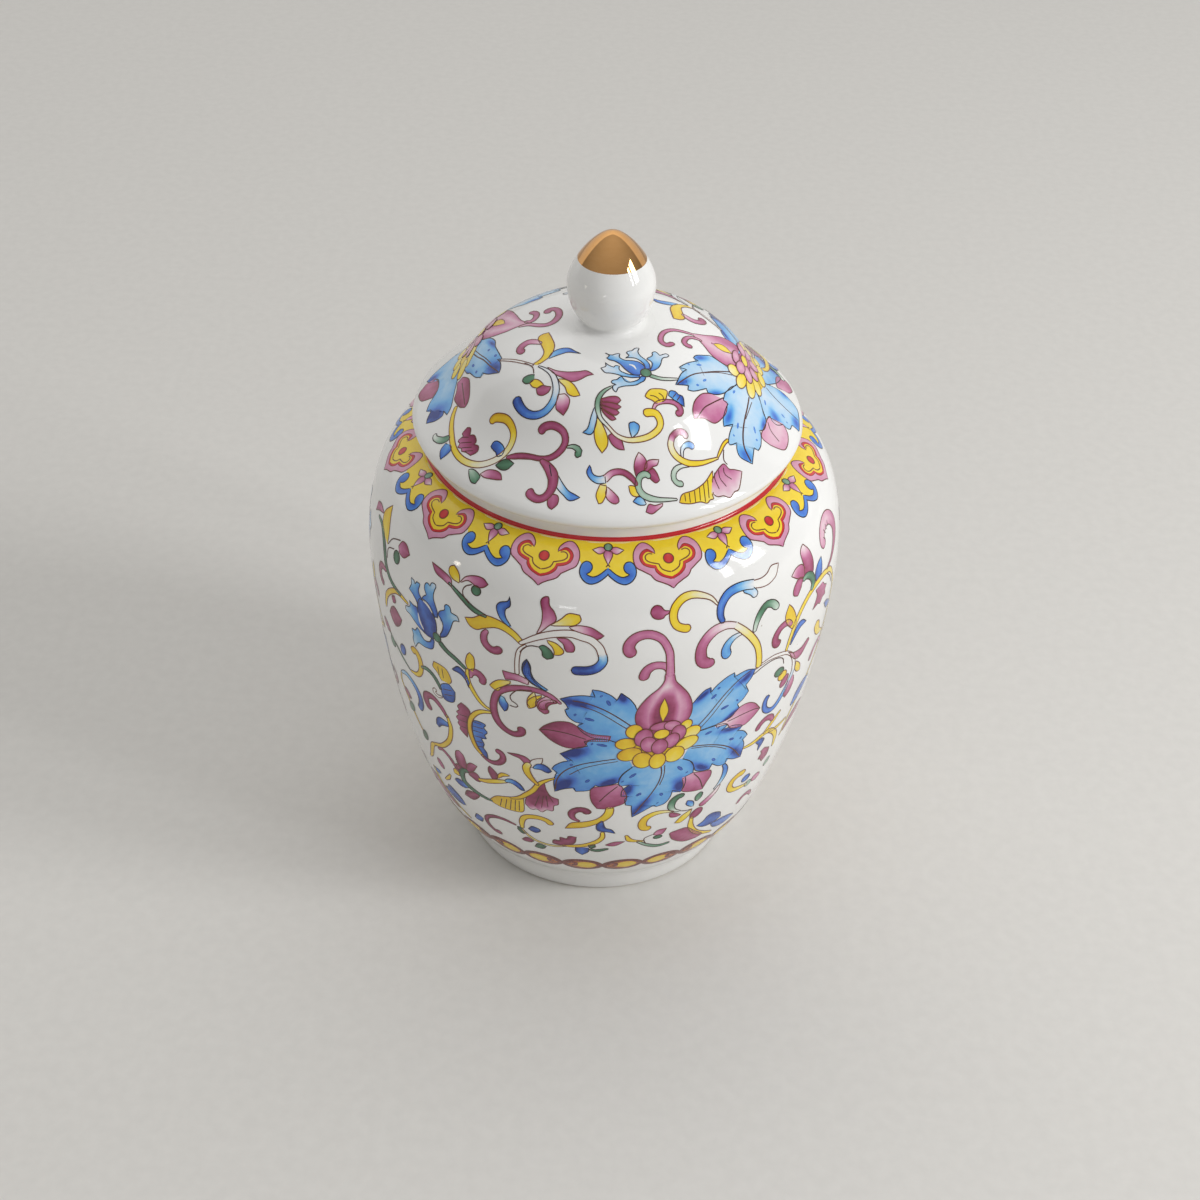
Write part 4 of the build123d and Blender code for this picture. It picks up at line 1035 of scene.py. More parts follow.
LID_LOTUS = [
    ("leaf", "rose", [404, -36, 402, -63, 408, -102, 427, -128], [438, -52, 450, -82, 442, -117, 427, -128],
     [40, 65, 70]),
    ("leaf", "rose", [340, -86, 339, -113, 343, -132, 336, -151, 324, -169, 310, -177], [325, -80, 303,
     -102, 296, -120, 296, -155, 303, -173, 310, -177], [60, 80, 85]),
    ("leaf", "blue", [371, -4, 401, -53, 416, -93, 420, -118, 420, -118, 408, -123, 413, -145, 414, -161],
     [338, -20, 342, -78, 346, -117, 351, -152, 359, -169, 359, -169, 370, -150, 370, -150, 371, -164, 390,
     -168, 414, -161], [40, 45, 60, 95]),
    ("leaf", "blue", [288, 20, 270, -4, 249, -17, 234, -37, 230, -60, 230, -60, 220, -82, 209, -107, 209,
     -107, 220, -103, 220, -103, 212, -116, 210, -131, 213, -143], [334, -19, 321, -57, 309, -83, 297, -93,
     297, -93, 279, -119, 261, -130, 261, -130, 257, -121, 257, -121, 239, -134, 213, -143], [40, 45, 55,
     80]),
    *pooled("blue", [227, -122, 264, 141, 54], [241, -41, 250, 60, 59], [392, -143, 283, 275, 83]),
    *veins([15, 11], [315, -14, 281, -53, 255, -87, 237, -115, 214, -142], [304, -13, 273, -52, 249, -87,
     234, -111]),
    ("leaf", "rose", [373, 111, 365, 145, 356, 175, 360, 188, 378, 192], [413, 100, 425, 120, 427, 145, 422,
     170, 414, 182, 396, 189, 378, 192], [25, 32, 42]),
    *veins([13], [372, 129, 381, 150, 403, 166]),
    *pooled("blue", [392, 97, 133, 231, -20], [452, 59, 128, 244, 0], [424, -31, 128, 192, 30]),
    ("leaf", "blue", [335, 11, 365, -4, 391, -22, 417, -30, 442, -19, 458, 1, 461, 32], [335, 63, 350, 86,
     360, 114, 369, 124, 369, 124, 378, 105, 378, 105, 383, 115, 395, 119, 406, 111, 413, 102, 413, 102,
     423, 106, 433, 101, 438, 84, 438, 84, 440, 81, 453, 83, 459, 81, 461, 32], [26, 30, 36]),
    *veins([15], [368, 11, 396, 24, 422, 34, 458, 45]),
    *flecks("blue", [15, 28, 15], 75, [363, 65, 365, 81], [410, 68, 419, 75], [423, 87, 426, 84]),
    ("leaf", "rose", [276, -28, 253, -25, 232, -19, 212, -7, 191, 6, 165, 16], [271, 47, 256, 64, 240, 73,
     222, 72, 204, 63, 191, 47, 178, 32, 165, 22], [[70, 75, 40, 25, 45, 70], [70, 70, 35, 25, 45, 75], [70,
     50, 30, 25, 40, 70], [55, 30, 25, 25, 35, 60], [40, 30, 35]], 2),
    ("run", "rose", [168, 19, 140, 19, 122, 22, 107, 34, 100, 52, 101, 69, 112, 76, 122, 69, 124, 64], [28,
     33, 38, 46, 51, 51, 54, 56, 56], [45, 55, 65, 70, 75], 4),
    ("stroke", "rose", [185, 32, 173, 30, 158, 33, 149, 45, 148, 57, 156, 63, 164, 61], [21, 33, 41, 49, 54,
     56, 56], [45, 55, 70, 75], 6),
    ("leaf", "yellow", [210, 25, 222, 15, 237, 12, 256, 22], [210, 25, 222, 32, 237, 32, 256, 22], [75, 55,
     60], 4),
    ("dab", "rose", [205, 25, 209, 25], [21, 36], [85], 5),
]
LID_LOTUS_HEART = [
    ("leaf", "rose", [209, 168, 191, 177, 177, 198, 174, 219, 180, 236], [253, 163, 256, 183, 250, 201, 232,
     224, 204, 227, 180, 236], [40, 60, 70]),
    *veins([13], [242, 160, 217, 186, 199, 206, 187, 233]),
    ("leaf", "blue", [258, 78, 222, 73, 204, 69, 191, 75, 173, 84, 167, 94, 167, 94, 177, 98, 177, 98, 155,
     114, 138, 132, 138, 132, 154, 132, 154, 132, 143, 147, 133, 177], [273, 106, 256, 125, 244, 146, 224,
     163, 203, 169, 203, 169, 199, 161, 199, 161, 174, 178, 159, 181, 159, 181, 160, 170, 160, 170, 133,
     177], [22, 28, 40]),
    ("leaf", "blue", [278, 93, 258, 127, 245, 145, 242, 166, 242, 166, 256, 166, 256, 166, 252, 183, 251,
     204, 256, 219, 256, 219, 279, 201, 279, 201, 274, 223, 273, 246, 279, 250, 294, 237, 294, 237, 296,
     254, 306, 267, 335, 268], [335, 63, 345, 73, 355, 98, 365, 120, 367, 139, 362, 160, 351, 170, 351, 170,
     355, 183, 355, 209, 349, 226, 349, 226, 338, 225, 338, 225, 336, 252, 335, 268], [26, 30, 34]),
    *pooled("blue", [182, 87, 192, 82, -25], [149, 165, 218, 82, -40], [223, 161, 218, 72, -30], [265, 192,
     108, 269, 12], [317, 256, 167, 192, -15], [361, 145, 67, 256, 8]),
    *veins([14], [255, 83, 222, 104, 191, 124, 165, 142, 136, 175]),
    *veins([10, 20], [258, 90, 224, 106, 191, 125], [314, 104, 312, 137, 308, 175, 308, 211, 314, 239, 332,
     265], [324, 109, 318, 137, 311, 168]),
    *flecks("blue", [15, 28, 15], 75, [264, 134, 269, 124], [292, 189, 292, 204], [335, 170, 340, 186],
     [284, 227, 285, 222], [190, 147, 197, 139], [174, 111, 185, 106], [176, 163, 182, 160], [345, 198, 343,
     204], [156, 118, 159, 115]),
    ("dab", "yellow", [268, 68, 319, 47, 342, 1, 335, -55, 309, -81], [154, 244, 205, 154, 128], [75], 5),
    *petals("yellow", 6, [294, -68, 115, 333, 15, 70, 50, 20], [319, -94, 128, 282, 10, 70, 50, 20], [345,
     -78, 108, 244, 5, 70, 50, 20], [351, -43, 108, 244, 8, 70, 50, 20], [353, -3, 123, 251, -10, 70, 55,
     25], [336, 45, 138, 267, -20, 70, 50, 20], [260, 73, 144, 159, 35, 70, 35, 5], [284, 84, 133, 251, 20,
     70, 55, 25], [315, 73, 159, 295, -6, 70, 50, 20]),
    ("dab", "rose", [283, 42, 301, 11, 306, -30], [179, 282, 179], [70], 24),
    *petals("rose", 24, [306, -36, 128, 244, 19, 70, 35, 60], [284, -28, 118, 231, -12, 70, 35, 60], [326,
     -18, 133, 205, 50, 70, 35, 60], [265, 23, 92, 231, 5, 70, 35, 60], [324, 19, 144, 169, -77, 70, 35,
     60], [302, 45, 159, 221, -20, 65, 30, 55], [279, 47, 123, 215, 14, 70, 35, 60]),
    ("dot", "yellow", [290, 12], [103, 169, -5], [75, 50, 60], 38),
]
LID_LOTUS_LEFT = [
    ("leaf", "rose", [-346, 54, -348, 81, -354, 100, -348, 119, -338, 138, -325, 148], [-331, 50, -312, 73,
     -306, 92, -309, 127, -317, 144, -325, 148], [60, 85, 90]),
    *veins([13], [-331, 69, -327, 108, -324, 142]),
    ("leaf", "rose", [-442, -50, -458, -27, -457, -4, -446, 23, -417, 39], [-417, -50, -406, -15, -404, 15,
     -417, 39], [60, 80, 85]),
    ("leaf", "blue", [-373, -123, -417, -92, -442, -65, -442, -65, -429, -42, -412, -40, -404, -12, -406,
     23, -423, 54, -430, 79, -430, 79, -417, 85, -425, 106, -427, 122], [-327, -100, -335, -23, -348, 46,
     -356, 85, -363, 119, -373, 135, -373, 135, -383, 115, -383, 115, -385, 129, -404, 132, -427, 122], [40,
     40, 42, 45, 70]),
    *pooled("blue", [-425, -59, 206, 174, 38], [-404, 106, 283, 275, 88], [-319, 54, 237, 75, 55]),
    ("leaf", "blue", [-308, -77, -285, -46, -269, -21, -250, -6, -237, 15, -235, 38, -235, 38, -227, 62,
     -218, 88, -218, 88, -229, 83, -229, 83, -222, 96, -221, 112, -225, 123], [-342, -77, -337, -23, -325,
     27, -315, 54, -304, 65, -304, 65, -288, 92, -272, 106, -272, 106, -267, 97, -267, 97, -250, 112, -225,
     123], [35, 38, 42, 45, 60]),
    *pooled("blue", [-238, 101, 275, 152, 56], [-244, 20, 240, 60, 63]),
    *veins([15, 11], [-315, -38, -285, 27, -262, 63, -246, 92, -226, 121], [-304, -31, -277, 27, -256, 63,
     -243, 88]),
    *flecks("blue", [19, 35, 19], 90, [-296, 46, -290, 58], [-252, 35, -249, 42], [-285, 77, -282, 85],
     [-235, 65, -232, 73]),
    ("leaf", "rose", [-231, -146, -208, -100, -194, -62, -181, -27, -165, -9], [-300, -77, -285, -42, -262,
     -17, -238, -5, -212, 0, -188, -3, -165, -5], [[75, 30, 80, 30, 75], [80, 30, 80, 30, 80], [75, 25, 70,
     25, 75], [70, 20, 30, 20, 70], [60, 40, 60]], 2),
    ("leaf", "yellow", [-250, -85, -252, -69, -238, -50, -218, -40], [-250, -85, -231, -77, -221, -58, -218,
     -40], [75, 80, 70], 4),
    ("stroke", "rose", [-173, -17, -163, -10, -152, -17, -149, -35, -157, -48, -165, -47], [35, 54, 58, 62,
     69, 69], [50, 65, 75, 80], 2),
    ("stroke", "rose", [-185, -3, -162, 1, -144, 11, -127, 15, -112, 6, -103, -15, -105, -37, -115, -47,
     -126, -42, -125, -31], [31, 42, 54, 58, 62, 65, 69, 73, 77, 77], [30, 50, 65, 75, 75, 80], 2),
]


def hundredths(values):
    """Shades from whole numbers: one line of them, or a table with a line for each row."""
    return ([np.array(row) / FINE_UNITS for row in values] if np.ndim(values[0])
            else np.array(values) / FINE_UNITS)


def painted(g, rows, turn=0.0, drop=0.0, over=0):
    """Lays rows of brush work on a ground, turned about the axis by an angle in degrees, let down on the
    jar, and painted over what lies there by a number of layers."""
    c, s = direction(turn)
    spin = np.array([[c, -s], [s, c]])

    def moved(flat):
        p = np.reshape(np.array(flat, float) / POINT_UNITS, (-1, 2))
        return (p @ spin if g["polar"] else p + [turn, drop]).ravel()

    def spot(place, size):
        wide, tall, tilt = size
        return *moved(place), wide / FINE_UNITS, tall / FINE_UNITS, tilt - (turn if g["polar"] else 0)

    pools = {}
    for kind, pigment, one, two in (row for row in rows if row[0] == "pool"):
        pools.setdefault(pigment, []).append(spot(one, two))
    for kind, pigment, one, two, *rest in (row for row in rows if row[0] != "pool"):
        shades = hundredths(rest[0])
        layer = over + (rest[1] if len(rest) > 1 else 0)
        if kind in ("stroke", "run", "dab"):
            stroke(g, pigment, moved(one), np.array(two) / FINE_UNITS, shades, layer, kind != "dab",
                   kind == "run")
        elif kind == "leaf":
            leaf(g, pigment, moved(one), moved(two), shades, layer, pools=pools.get(pigment, ()))
        else:
            dot(g, pigment, spot(one, two), shades, layer)


def mirrored(flat, centre, sign):
    """Points given as (offset, s) about a centre line, on one side of it or the other."""
    p = np.reshape(np.array(flat, float), (-1, 2)) * [sign, 1] + [centre, 0]
    return p.ravel()


# Border of ruyi heads under the neck: 11 heads with a scalloped spacer between each pair. Each line is half
# of a shape, as degrees from its middle and millimetres down from the neck.
HEADS, HEAD_AT, SPACER_AT = 11, 17.1, 1.2
HEAD_EDGE = [3.3, 3.0, 3.5, 1.9, 4.8, 0.7, 6.3, 0.3, 7.8, 0.9, 9.0, 2.3, 9.3, 4.0, 8.7, 5.5, 7.1, 6.3, 5.2,
             7.2, 5.2, 7.2, 4.2, 8.2, 2.4, 8.9, 1.0, 9.5, 0, 10.2]
RED_OUT = [3.8, 2.7, 5.3, 1.9, 6.9, 2.5, 7.6, 3.6, 7.1, 4.8, 5.8, 5.5, 4.0, 5.9, 4.0, 5.9, 3.7, 6.7, 2.4,
           7.6, 0, 8.4]
RED_IN = [4.0, 2.9, 5.3, 2.5, 6.4, 3.0, 6.8, 3.8, 6.3, 4.7, 5.1, 5.1, 3.6, 5.4, 3.6, 5.4, 3.2, 6.3, 1.9,
          7.3, 0, 7.9]
INNER_LINE = [4.0, 3.1, 5.1, 2.9, 6.0, 3.3, 6.1, 4.0, 5.3, 4.6, 3.7, 5.0, 2.8, 5.2, 2.8, 5.2, 2.4, 6.1, 1.2,
              6.7, 0, 7.0]
SCALLOP_OUT = [0, 6.8, 1.3, 7.7, 2.7, 8.4, 4.3, 8.7, 5.8, 8.2, 6.9, 7.1, 7.1, 5.9, 6.6, 4.8, 5.6, 4.3, 4.6,
               4.5]
SCALLOP_IN = [0, 5.4, 1.1, 6.2, 2.3, 6.9, 3.6, 7.3, 4.7, 7.1, 5.3, 6.8, 4.5, 6.4, 4.0, 5.7, 4.1, 5.0, 4.6,
              4.5]
FIELD_HEAD = [0, 8.2, 1.2, 8.0, 2.4, 7.5, 3.4, 6.5, 4.0, 5.6, 5.5, 5.4, 6.7, 4.9, 7.4, 3.7, 8.2, 3.7, 9.3,
              4.2]
FIELD_SPACER = [7.0, 4.6, 6.6, 5.4, 6.3, 6.3, 5.3, 7.4, 3.9, 7.9, 2.5, 7.5, 1.2, 6.8, 0, 6.1]
SIDE_PETAL_TOP, SIDE_PETAL_LOW = [0.6, 1.4, 2.2, 1.1, 4.3, 1.8], [0.6, 2.1, 2.4, 2.7, 4.3, 1.8]
MID_PETAL, TICK = [0.7, 1.8, 1.2, 2.9, 0, 4.9], [0, 4.8, 0.5, 5.3]
FIELD_TOP, FIELD_COLUMNS, FIELD_ROWS, FIELD_SHADE = -0.2, 90, 8, 0.62
NECK_LINE_S, NECK_LINE_HALF, NECK_LINE_SHADE = -0.75, 0.5, 0.7


def ruyi_border(g):
    """Yellow field whose lower edge follows the heads and spacers, then red, rose and blue bands laid over
    it."""
    pitch = 360 / HEADS
    gap = (HEAD_AT - SPACER_AT) / pitch
    half = np.array(FIELD_HEAD + mirrored(FIELD_SPACER, pitch * gap, -1).tolist()).reshape(-1, 2)
    back = np.array(FIELD_HEAD + mirrored(FIELD_SPACER, pitch * (1 - gap), -1).tolist()).reshape(-1, 2)
    low = np.vstack([half, (back * [-1, 1] + [pitch, 0])[::-1]])
    offset = np.arange(0, pitch, pitch / FIELD_COLUMNS)
    edge = np.interp(offset, low[:, 0], low[:, 1])
    around = (HEAD_AT - np.arange(HEADS)[:, None] * pitch - offset[None]).ravel()
    depth = np.tile(edge, HEADS)
    rows = np.linspace(0, 1, FIELD_ROWS)
    down = FIELD_TOP + (depth[:, None] - FIELD_TOP) * rows[None]
    grid = np.stack([np.repeat(around[:, None], FIELD_ROWS, 1), down], -1)
    lay(g, "yellow", grid, FIELD_SHADE, 0, closed=True)
    stroke_ring(g, "red", NECK_LINE_S, NECK_LINE_HALF, NECK_LINE_SHADE, 2)
    for k in range(HEADS):
        c = HEAD_AT + k * pitch
        for sign in (1, -1):
            leaf(g, "rose", mirrored(HEAD_EDGE, c, sign), mirrored(RED_OUT, c, sign),
                 [[0.5, 0.35], [0.45, 0.35], [0.5, 0.4]], 1)
            leaf(g, "red", mirrored(RED_OUT, c, sign), mirrored(RED_IN, c, sign), [0.8, 0.6, 0.7], 3,
                 contour=False)
            stroke(g, "line", mirrored(INNER_LINE, c, sign), [0.11, 0.12, 0.11], [0.35], 5, contour=False)
        dot(g, "red", [c, 4.3, 1.0, 1.0, 0], [0.6, 0.7], 3)
        c = SPACER_AT + k * pitch
        for sign in (1, -1):
            leaf(g, "blue", mirrored(SCALLOP_OUT, c, sign), mirrored(SCALLOP_IN, c, sign),
                 [[0.8, 0.75], [0.75, 0.85], [0.72, 0.9], [0.7, 0.8]], 1)
            leaf(g, "rose", mirrored(SIDE_PETAL_TOP, c, sign), mirrored(SIDE_PETAL_LOW, c, sign),
                 [0.7, 0.35, 0.02], 1)
        leaf(g, "rose", mirrored(MID_PETAL, c, -1), mirrored(MID_PETAL, c, 1), [0.75, 0.5, 0.05], 1)
        dot(g, "green", [c, 1.1, 0.8, 0.85, 0], [0.75, 0.6], 3)
        for sign in (1, -1):
            stroke(g, "line", mirrored(TICK, c, sign), [0.11], [0.5], 5, contour=False)


def stroke_ring(g, pigment, s, half, shade, layer):
    """Painted line right round the ground, at one height: a band of half width half on both sides of s."""
    around = np.arange(0, 360, 360 / TURNS)
    across = s + half * np.linspace(-1, 1, MIN_STEPS)
    grid = np.stack(np.meshgrid(around, across, indexing="ij"), -1)
    lay(g, pigment, grid, shade, layer, closed=True)


# Chain round the heel. Each lens has a pigment, a shift and a half length as shares of the pitch, a half
# height in millimetres, a shade and a layer.
LINKS, CHAIN_AT, CHAIN_S, LENS_POINTS = 27, 2.6, 94.4, 21
LENSES = (("iron", 0, 0.54, 3.1, 0.7, 0), ("iron", 0, 0.4, 2.1, 0.15, 2),
          ("yellow", -0.09, 0.27, 1.75, 0.8, 4))
COMMA = [5.0, 94.4, 4.2, 93.4, 2.8, 93.2, 2.0, 94.1, 2.6, 95.0, 3.6, 94.7]


def chain_band(g):
    """Lens-shaped links end to end: a dark red lens, a yellow one inside it and a brown comma at alternate
    ends. A lens is as high as (1 - |x| to the power 2.2) to the power 0.65 for x from -1 to 1 along it."""
    pitch = 360 / LINKS
    x = np.linspace(-1, 1, LENS_POINTS)
    for k in range(LINKS):
        c = CHAIN_AT + (k + 0.5) * pitch
        hand = 1 if k % 2 else -1
        for pigment, shift, long, tall, shade, layer in LENSES:
            bow = tall * (1 - np.abs(x) ** 2.2) ** 0.65
            middle = c + shift * hand * pitch
            edges = [np.column_stack([middle + long * pitch * x, CHAIN_S + sign * bow]).ravel()
                     for sign in (-1, 1)]
            leaf(g, pigment, edges[0], edges[1], [shade, shade - 0.1, shade], layer, contour=False)
        stroke(g, "iron", mirrored(COMMA, c, hand), [0.25, 0.45, 0.5, 0.45, 0.4], [0.6, 0.5], 6,
               contour=False)


def linear(code):
    """sRGB hex to linear red, green, blue and 1."""
    c = np.array([int(code[k:k + 2], 16) for k in (1, 3, 5)]) / 255
    c = np.where(c <= 0.04045, c / 12.92, ((c + 0.055) / 1.055) ** 2.4)
    return (*c.tolist(), 1.0)


def node(tree, kind, inputs=None, stops=(), **settings):
    """Adds a node with its settings. Inputs maps a socket to a value or to the output that feeds it, and
    stops are the places and hex colours of a ramp."""
    made = tree.nodes.new(kind)
    for key, value in settings.items():
        setattr(made, key, value)
    for key, value in (inputs or {}).items():
        if isinstance(value, bpy.types.NodeSocket):
            tree.links.new(value, made.inputs[key])
        else:
            made.inputs[key].default_value = value
    for _ in stops[2:]:
        made.color_ramp.elements.new(1.0)
    for (place, code), end in zip(stops, made.color_ramp.elements if stops else ()):
        end.position, end.color = place, linear(code)
    return made


def start_material(name):
    """Node material with nothing in it yet, and the place of each point on the object."""
    material = bpy.data.materials.new(name)
    material.use_nodes = True
    tree = material.node_tree
    tree.nodes.clear()
    return material, tree, node(tree, "ShaderNodeTexCoord").outputs["Object"]


def finish_material(tree, inputs):
    """Principled shader with its inputs, and the output."""
    shader = node(tree, "ShaderNodeBsdfPrincipled", inputs)
    node(tree, "ShaderNodeOutputMaterial", {"Surface": shader.outputs["BSDF"]})


def porcelain(name, biscuit_z):
    """Hard-paste porcelain, dipped and fired: white body under a clear glaze that pools and ripples a
    little, so the eye gets a sharp, slightly wavy gloss. The ring or seat at biscuit_z is wiped bare and
    looks dry."""
    material, tree, where = start_material(name)
    # Patches of thicker glaze 22 mm wide, pinholes 0.3 mm wide and 9 mm apart, ripples 14 mm long
    cloud = node(tree, "ShaderNodeTexNoise", {"Vector": where, "Scale": PER_MM / 22, "Detail": 3.0})
    white = node(tree, "ShaderNodeValToRGB", {"Fac": cloud.outputs["Fac"]},
                 [(0.3, "#EBEBE9"), (0.7, "#F1F1F0")])
    speck = node(tree, "ShaderNodeTexVoronoi", {"Vector": where, "Scale": PER_MM / 9})
    hole = node(tree, "ShaderNodeValToRGB", {"Fac": speck.outputs["Distance"]},
                [(0.012, "#CFC8BE"), (0.03, "#FFFFFF")])
    body = node(tree, "ShaderNodeMix", {0: 1.0, 6: white.outputs["Color"], 7: hole.outputs["Color"]},
                data_type="RGBA", blend_type="MULTIPLY")
    height = node(tree, "ShaderNodeSeparateXYZ", {"Vector": where})
    bare = node(tree, "ShaderNodeMath", {0: height.outputs["Z"], 1: biscuit_z * MM, 2: 0.35 * MM},
                operation="COMPARE")
    colour = node(tree, "ShaderNodeMix", {0: bare.outputs[0], 6: body.outputs[2], 7: linear("#DCD5C8")},
                  data_type="RGBA")
    gloss = node(tree, "ShaderNodeMapRange", {"Value": cloud.outputs["Fac"], "To Min": 0.04, "To Max": 0.09})
    rough = node(tree, "ShaderNodeMath", {0: bare.outputs[0], 1: 0.6, 2: gloss.outputs[0]},
                 operation="MULTIPLY_ADD")
    ripple = node(tree, "ShaderNodeTexNoise", {"Vector": where, "Scale": PER_MM / 14, "Detail": 1.0})
    wave = node(tree, "ShaderNodeBump",
                {"Height": ripple.outputs["Fac"], "Strength": 0.25, "Distance": 0.12 * MM})
    finish_material(tree, {"Base Color": colour.outputs[2], "Roughness": rough.outputs[0], "IOR": 1.5,
                           "Normal": wave.outputs["Normal"]})
    return material


def enamel(name, stops):
    """Overglaze enamel, brushed on and fired at low heat: a thin glassy colour that is pale where the wash
    is thin and deep where it pools. The field shade says how loaded the brush was, and a mottle 1.6 mm wide
    breaks it up."""
    material, tree, where = start_material(name)
    load = node(tree, "ShaderNodeAttribute", attribute_name="shade", attribute_type="GEOMETRY")
    mottle = node(tree, "ShaderNodeTexNoise", {"Vector": where, "Scale": PER_MM / 1.6, "Detail": 4.0})
    drift = node(tree, "ShaderNodeMath", {0: mottle.outputs["Fac"], 1: 0.22, 2: -0.11},
                 operation="MULTIPLY_ADD")
    tone = node(tree, "ShaderNodeMath", {0: load.outputs["Fac"], 1: drift.outputs[0]}, operation="ADD",
                use_clamp=True)
    colour = node(tree, "ShaderNodeValToRGB", {"Fac": tone.outputs[0]}, stops)
    gloss = node(tree, "ShaderNodeMapRange", {"Value": mottle.outputs["Fac"], "To Min": 0.07, "To Max": 0.2})
    grain = node(tree, "ShaderNodeBump",
                 {"Height": mottle.outputs["Fac"], "Strength": 0.2, "Distance": 0.03 * MM})
    finish_material(tree, {"Base Color": colour.outputs["Color"], "Roughness": gloss.outputs[0], "IOR": 1.55,
                           "Normal": grain.outputs["Normal"]})
    return material


def bright_gold(name):
    """Bright gold lustre, brushed on the glaze and fired: a thin mirror with faint brush marks round the
    bud, 2 mm long and a quarter as wide, and a warm, coppery tone."""
    material, tree, where = start_material(name)
    turned_way = node(tree, "ShaderNodeMapping", {"Vector": where, "Scale": (1, 1, 4)})
    marks = node(tree, "ShaderNodeTexNoise",
                 {"Vector": turned_way.outputs[0], "Scale": PER_MM / 2.0, "Detail": 2.0})
    colour = node(tree, "ShaderNodeValToRGB", {"Fac": marks.outputs["Fac"]},
                  [(0.3, "#D4A066"), (0.7, "#D8A56C")])
    gloss = node(tree, "ShaderNodeMapRange", {"Value": marks.outputs["Fac"], "To Min": 0.03, "To Max": 0.06})
    finish_material(tree, {"Base Color": colour.outputs["Color"], "Roughness": gloss.outputs[0],
                           "Metallic": 1.0})
    return material


def matt_paper(name):
    """Sheet of matt paper for the floor: a pale grey with a faint tooth 3 mm wide, and no gloss to speak
    of."""
    material, tree, where = start_material(name)
    tooth = node(tree, "ShaderNodeTexNoise", {"Vector": where, "Scale": PER_MM / 3, "Detail": 2.0})
    colour = node(tree, "ShaderNodeValToRGB", {"Fac": tooth.outputs["Fac"]},
                  [(0.3, "#D4D2CE"), (0.7, "#D8D6D2")])
    finish_material(tree, {"Base Color": colour.outputs["Color"], "Roughness": 0.8})
    return material


# Colour of each enamel from a thin wash to a full brush
ENAMELS = {
    "blue": ("sky_blue_enamel", [
        (0.0, "#E8EBEE"), (0.35, "#A6D0F0"), (0.55, "#6DB2EA"), (0.8, "#4478D4"), (1.0, "#1C3488")]),
    "rose": ("rose_enamel", [
        (0.0, "#F0E8E8"), (0.35, "#DDA6C0"), (0.6, "#C4729C"), (0.85, "#9E4069"), (1.0, "#742443")]),
    "yellow": ("yellow_enamel", [
        (0.0, "#F0EDDC"), (0.3, "#F0E38C"), (0.6, "#F3D632"), (0.85, "#E6BC20"), (1.0, "#BE8812")]),
    "green": ("green_enamel", [(0.0, "#E6EAE4"), (0.4, "#A5C2AE"), (0.75, "#578A6C"), (1.0, "#2F5638")]),
    "red": ("coral_red_enamel", [(0.0, "#E87C6A"), (0.7, "#C6222A"), (1.0, "#A01A1E")]),
    "iron": ("iron_red_enamel", [(0.0, "#B8682A"), (0.5, "#7E2218"), (1.0, "#4F110F")]),
    "white": ("white_enamel", [(0.0, "#F0EFEC"), (1.0, "#E2DED6")]),
    "line": ("brown_line_enamel", [(0.0, "#8A4E34"), (0.45, "#64301F"), (0.75, "#33201A"), (1.0, "#16162A")]),
}


# Share of its square of the texture map that a patch fills, and the margin left round it
PATCH_FILL, PATCH_EDGE = 0.9, 0.05


def paint_pieces(g, title, body, materials):
    """One object for each pigment on a ground. Each patch has its own square of the texture map."""
    for pigment, patches in g["paint"].items():
        side = int(np.ceil(np.sqrt(len(patches))))
        first = np.cumsum([0] + [len(p[0]) for p in patches[:-1]])
        points = np.vstack([p[0] for p in patches])
        quads = np.vstack([p[1] + f for p, f in zip(patches, first)])
        shade = np.concatenate([p[2] for p in patches])
        uv = np.vstack([(p[3] * PATCH_FILL + PATCH_EDGE + [n % side, n // side]) / side
                        for n, p in enumerate(patches)])
        piece = mesh_piece(f"{title}_{pigment}_enamel", points, quads, materials[pigment], {"shade": shade},
                           uv)
        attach(piece, body)


jar_ground = ground(np.vstack([[(NECK_R, 106), (NECK_R, 104.3)], neck_fillet[::-1], outside[-2::-1]]), 0,
                    polar=False)
jar_ground["s"] -= np.interp(-NECK_ROOT[1], -jar_ground["z"], jar_ground["s"])
lid_ground = ground(cover, CROWN[0], polar=True)

ruyi_border(jar_ground)
chain_band(jar_ground)
# The jar is painted twice, half a turn apart. Groups of the front, turned in degrees and let down in
# millimetres, fill the sides.
FRONT = (LOTUS, BRANCH, CARNATION, UPPER, ROSE_SCROLL, COMBS, LEFT_SIDE, LOW_FAN, FAR_LEFT, RIGHT_SIDE,
         HEEL_SCROLL, HEEL_ENDS)
BETWEEN = ((CARNATION, 137, 0), (COMBS, 137, 0), (ROSE_SCROLL, 104, 11), (LOW_FAN, 121, 0),
           (HEEL_SCROLL, 96, 0))
for half_turn in (0, 180):
    for rows, turn, drop in [(rows, 0, 0) for rows in FRONT] + list(BETWEEN):
        painted(jar_ground, rows, half_turn + turn, drop)

# The near side of the lid is painted again on the far side, over what reaches there
LID_BACK, LEFT_LOTUS, LID_OVER = 171.0, 167.0, 8
LID_FRONT = (LID_CURL, LID_SPIRAL, LID_ROSE, LID_CARNATION, LID_SCROLL, LID_FLOWER, LID_SHELL)
for rows in LID_FRONT + (LID_LOTUS, LID_LOTUS_HEART, LID_LOTUS_LEFT):
    painted(lid_ground, rows)
for rows in LID_FRONT:
    painted(lid_ground, rows, LID_BACK, over=LID_OVER)
painted(lid_ground, LID_LOTUS_HEART, LEFT_LOTUS)

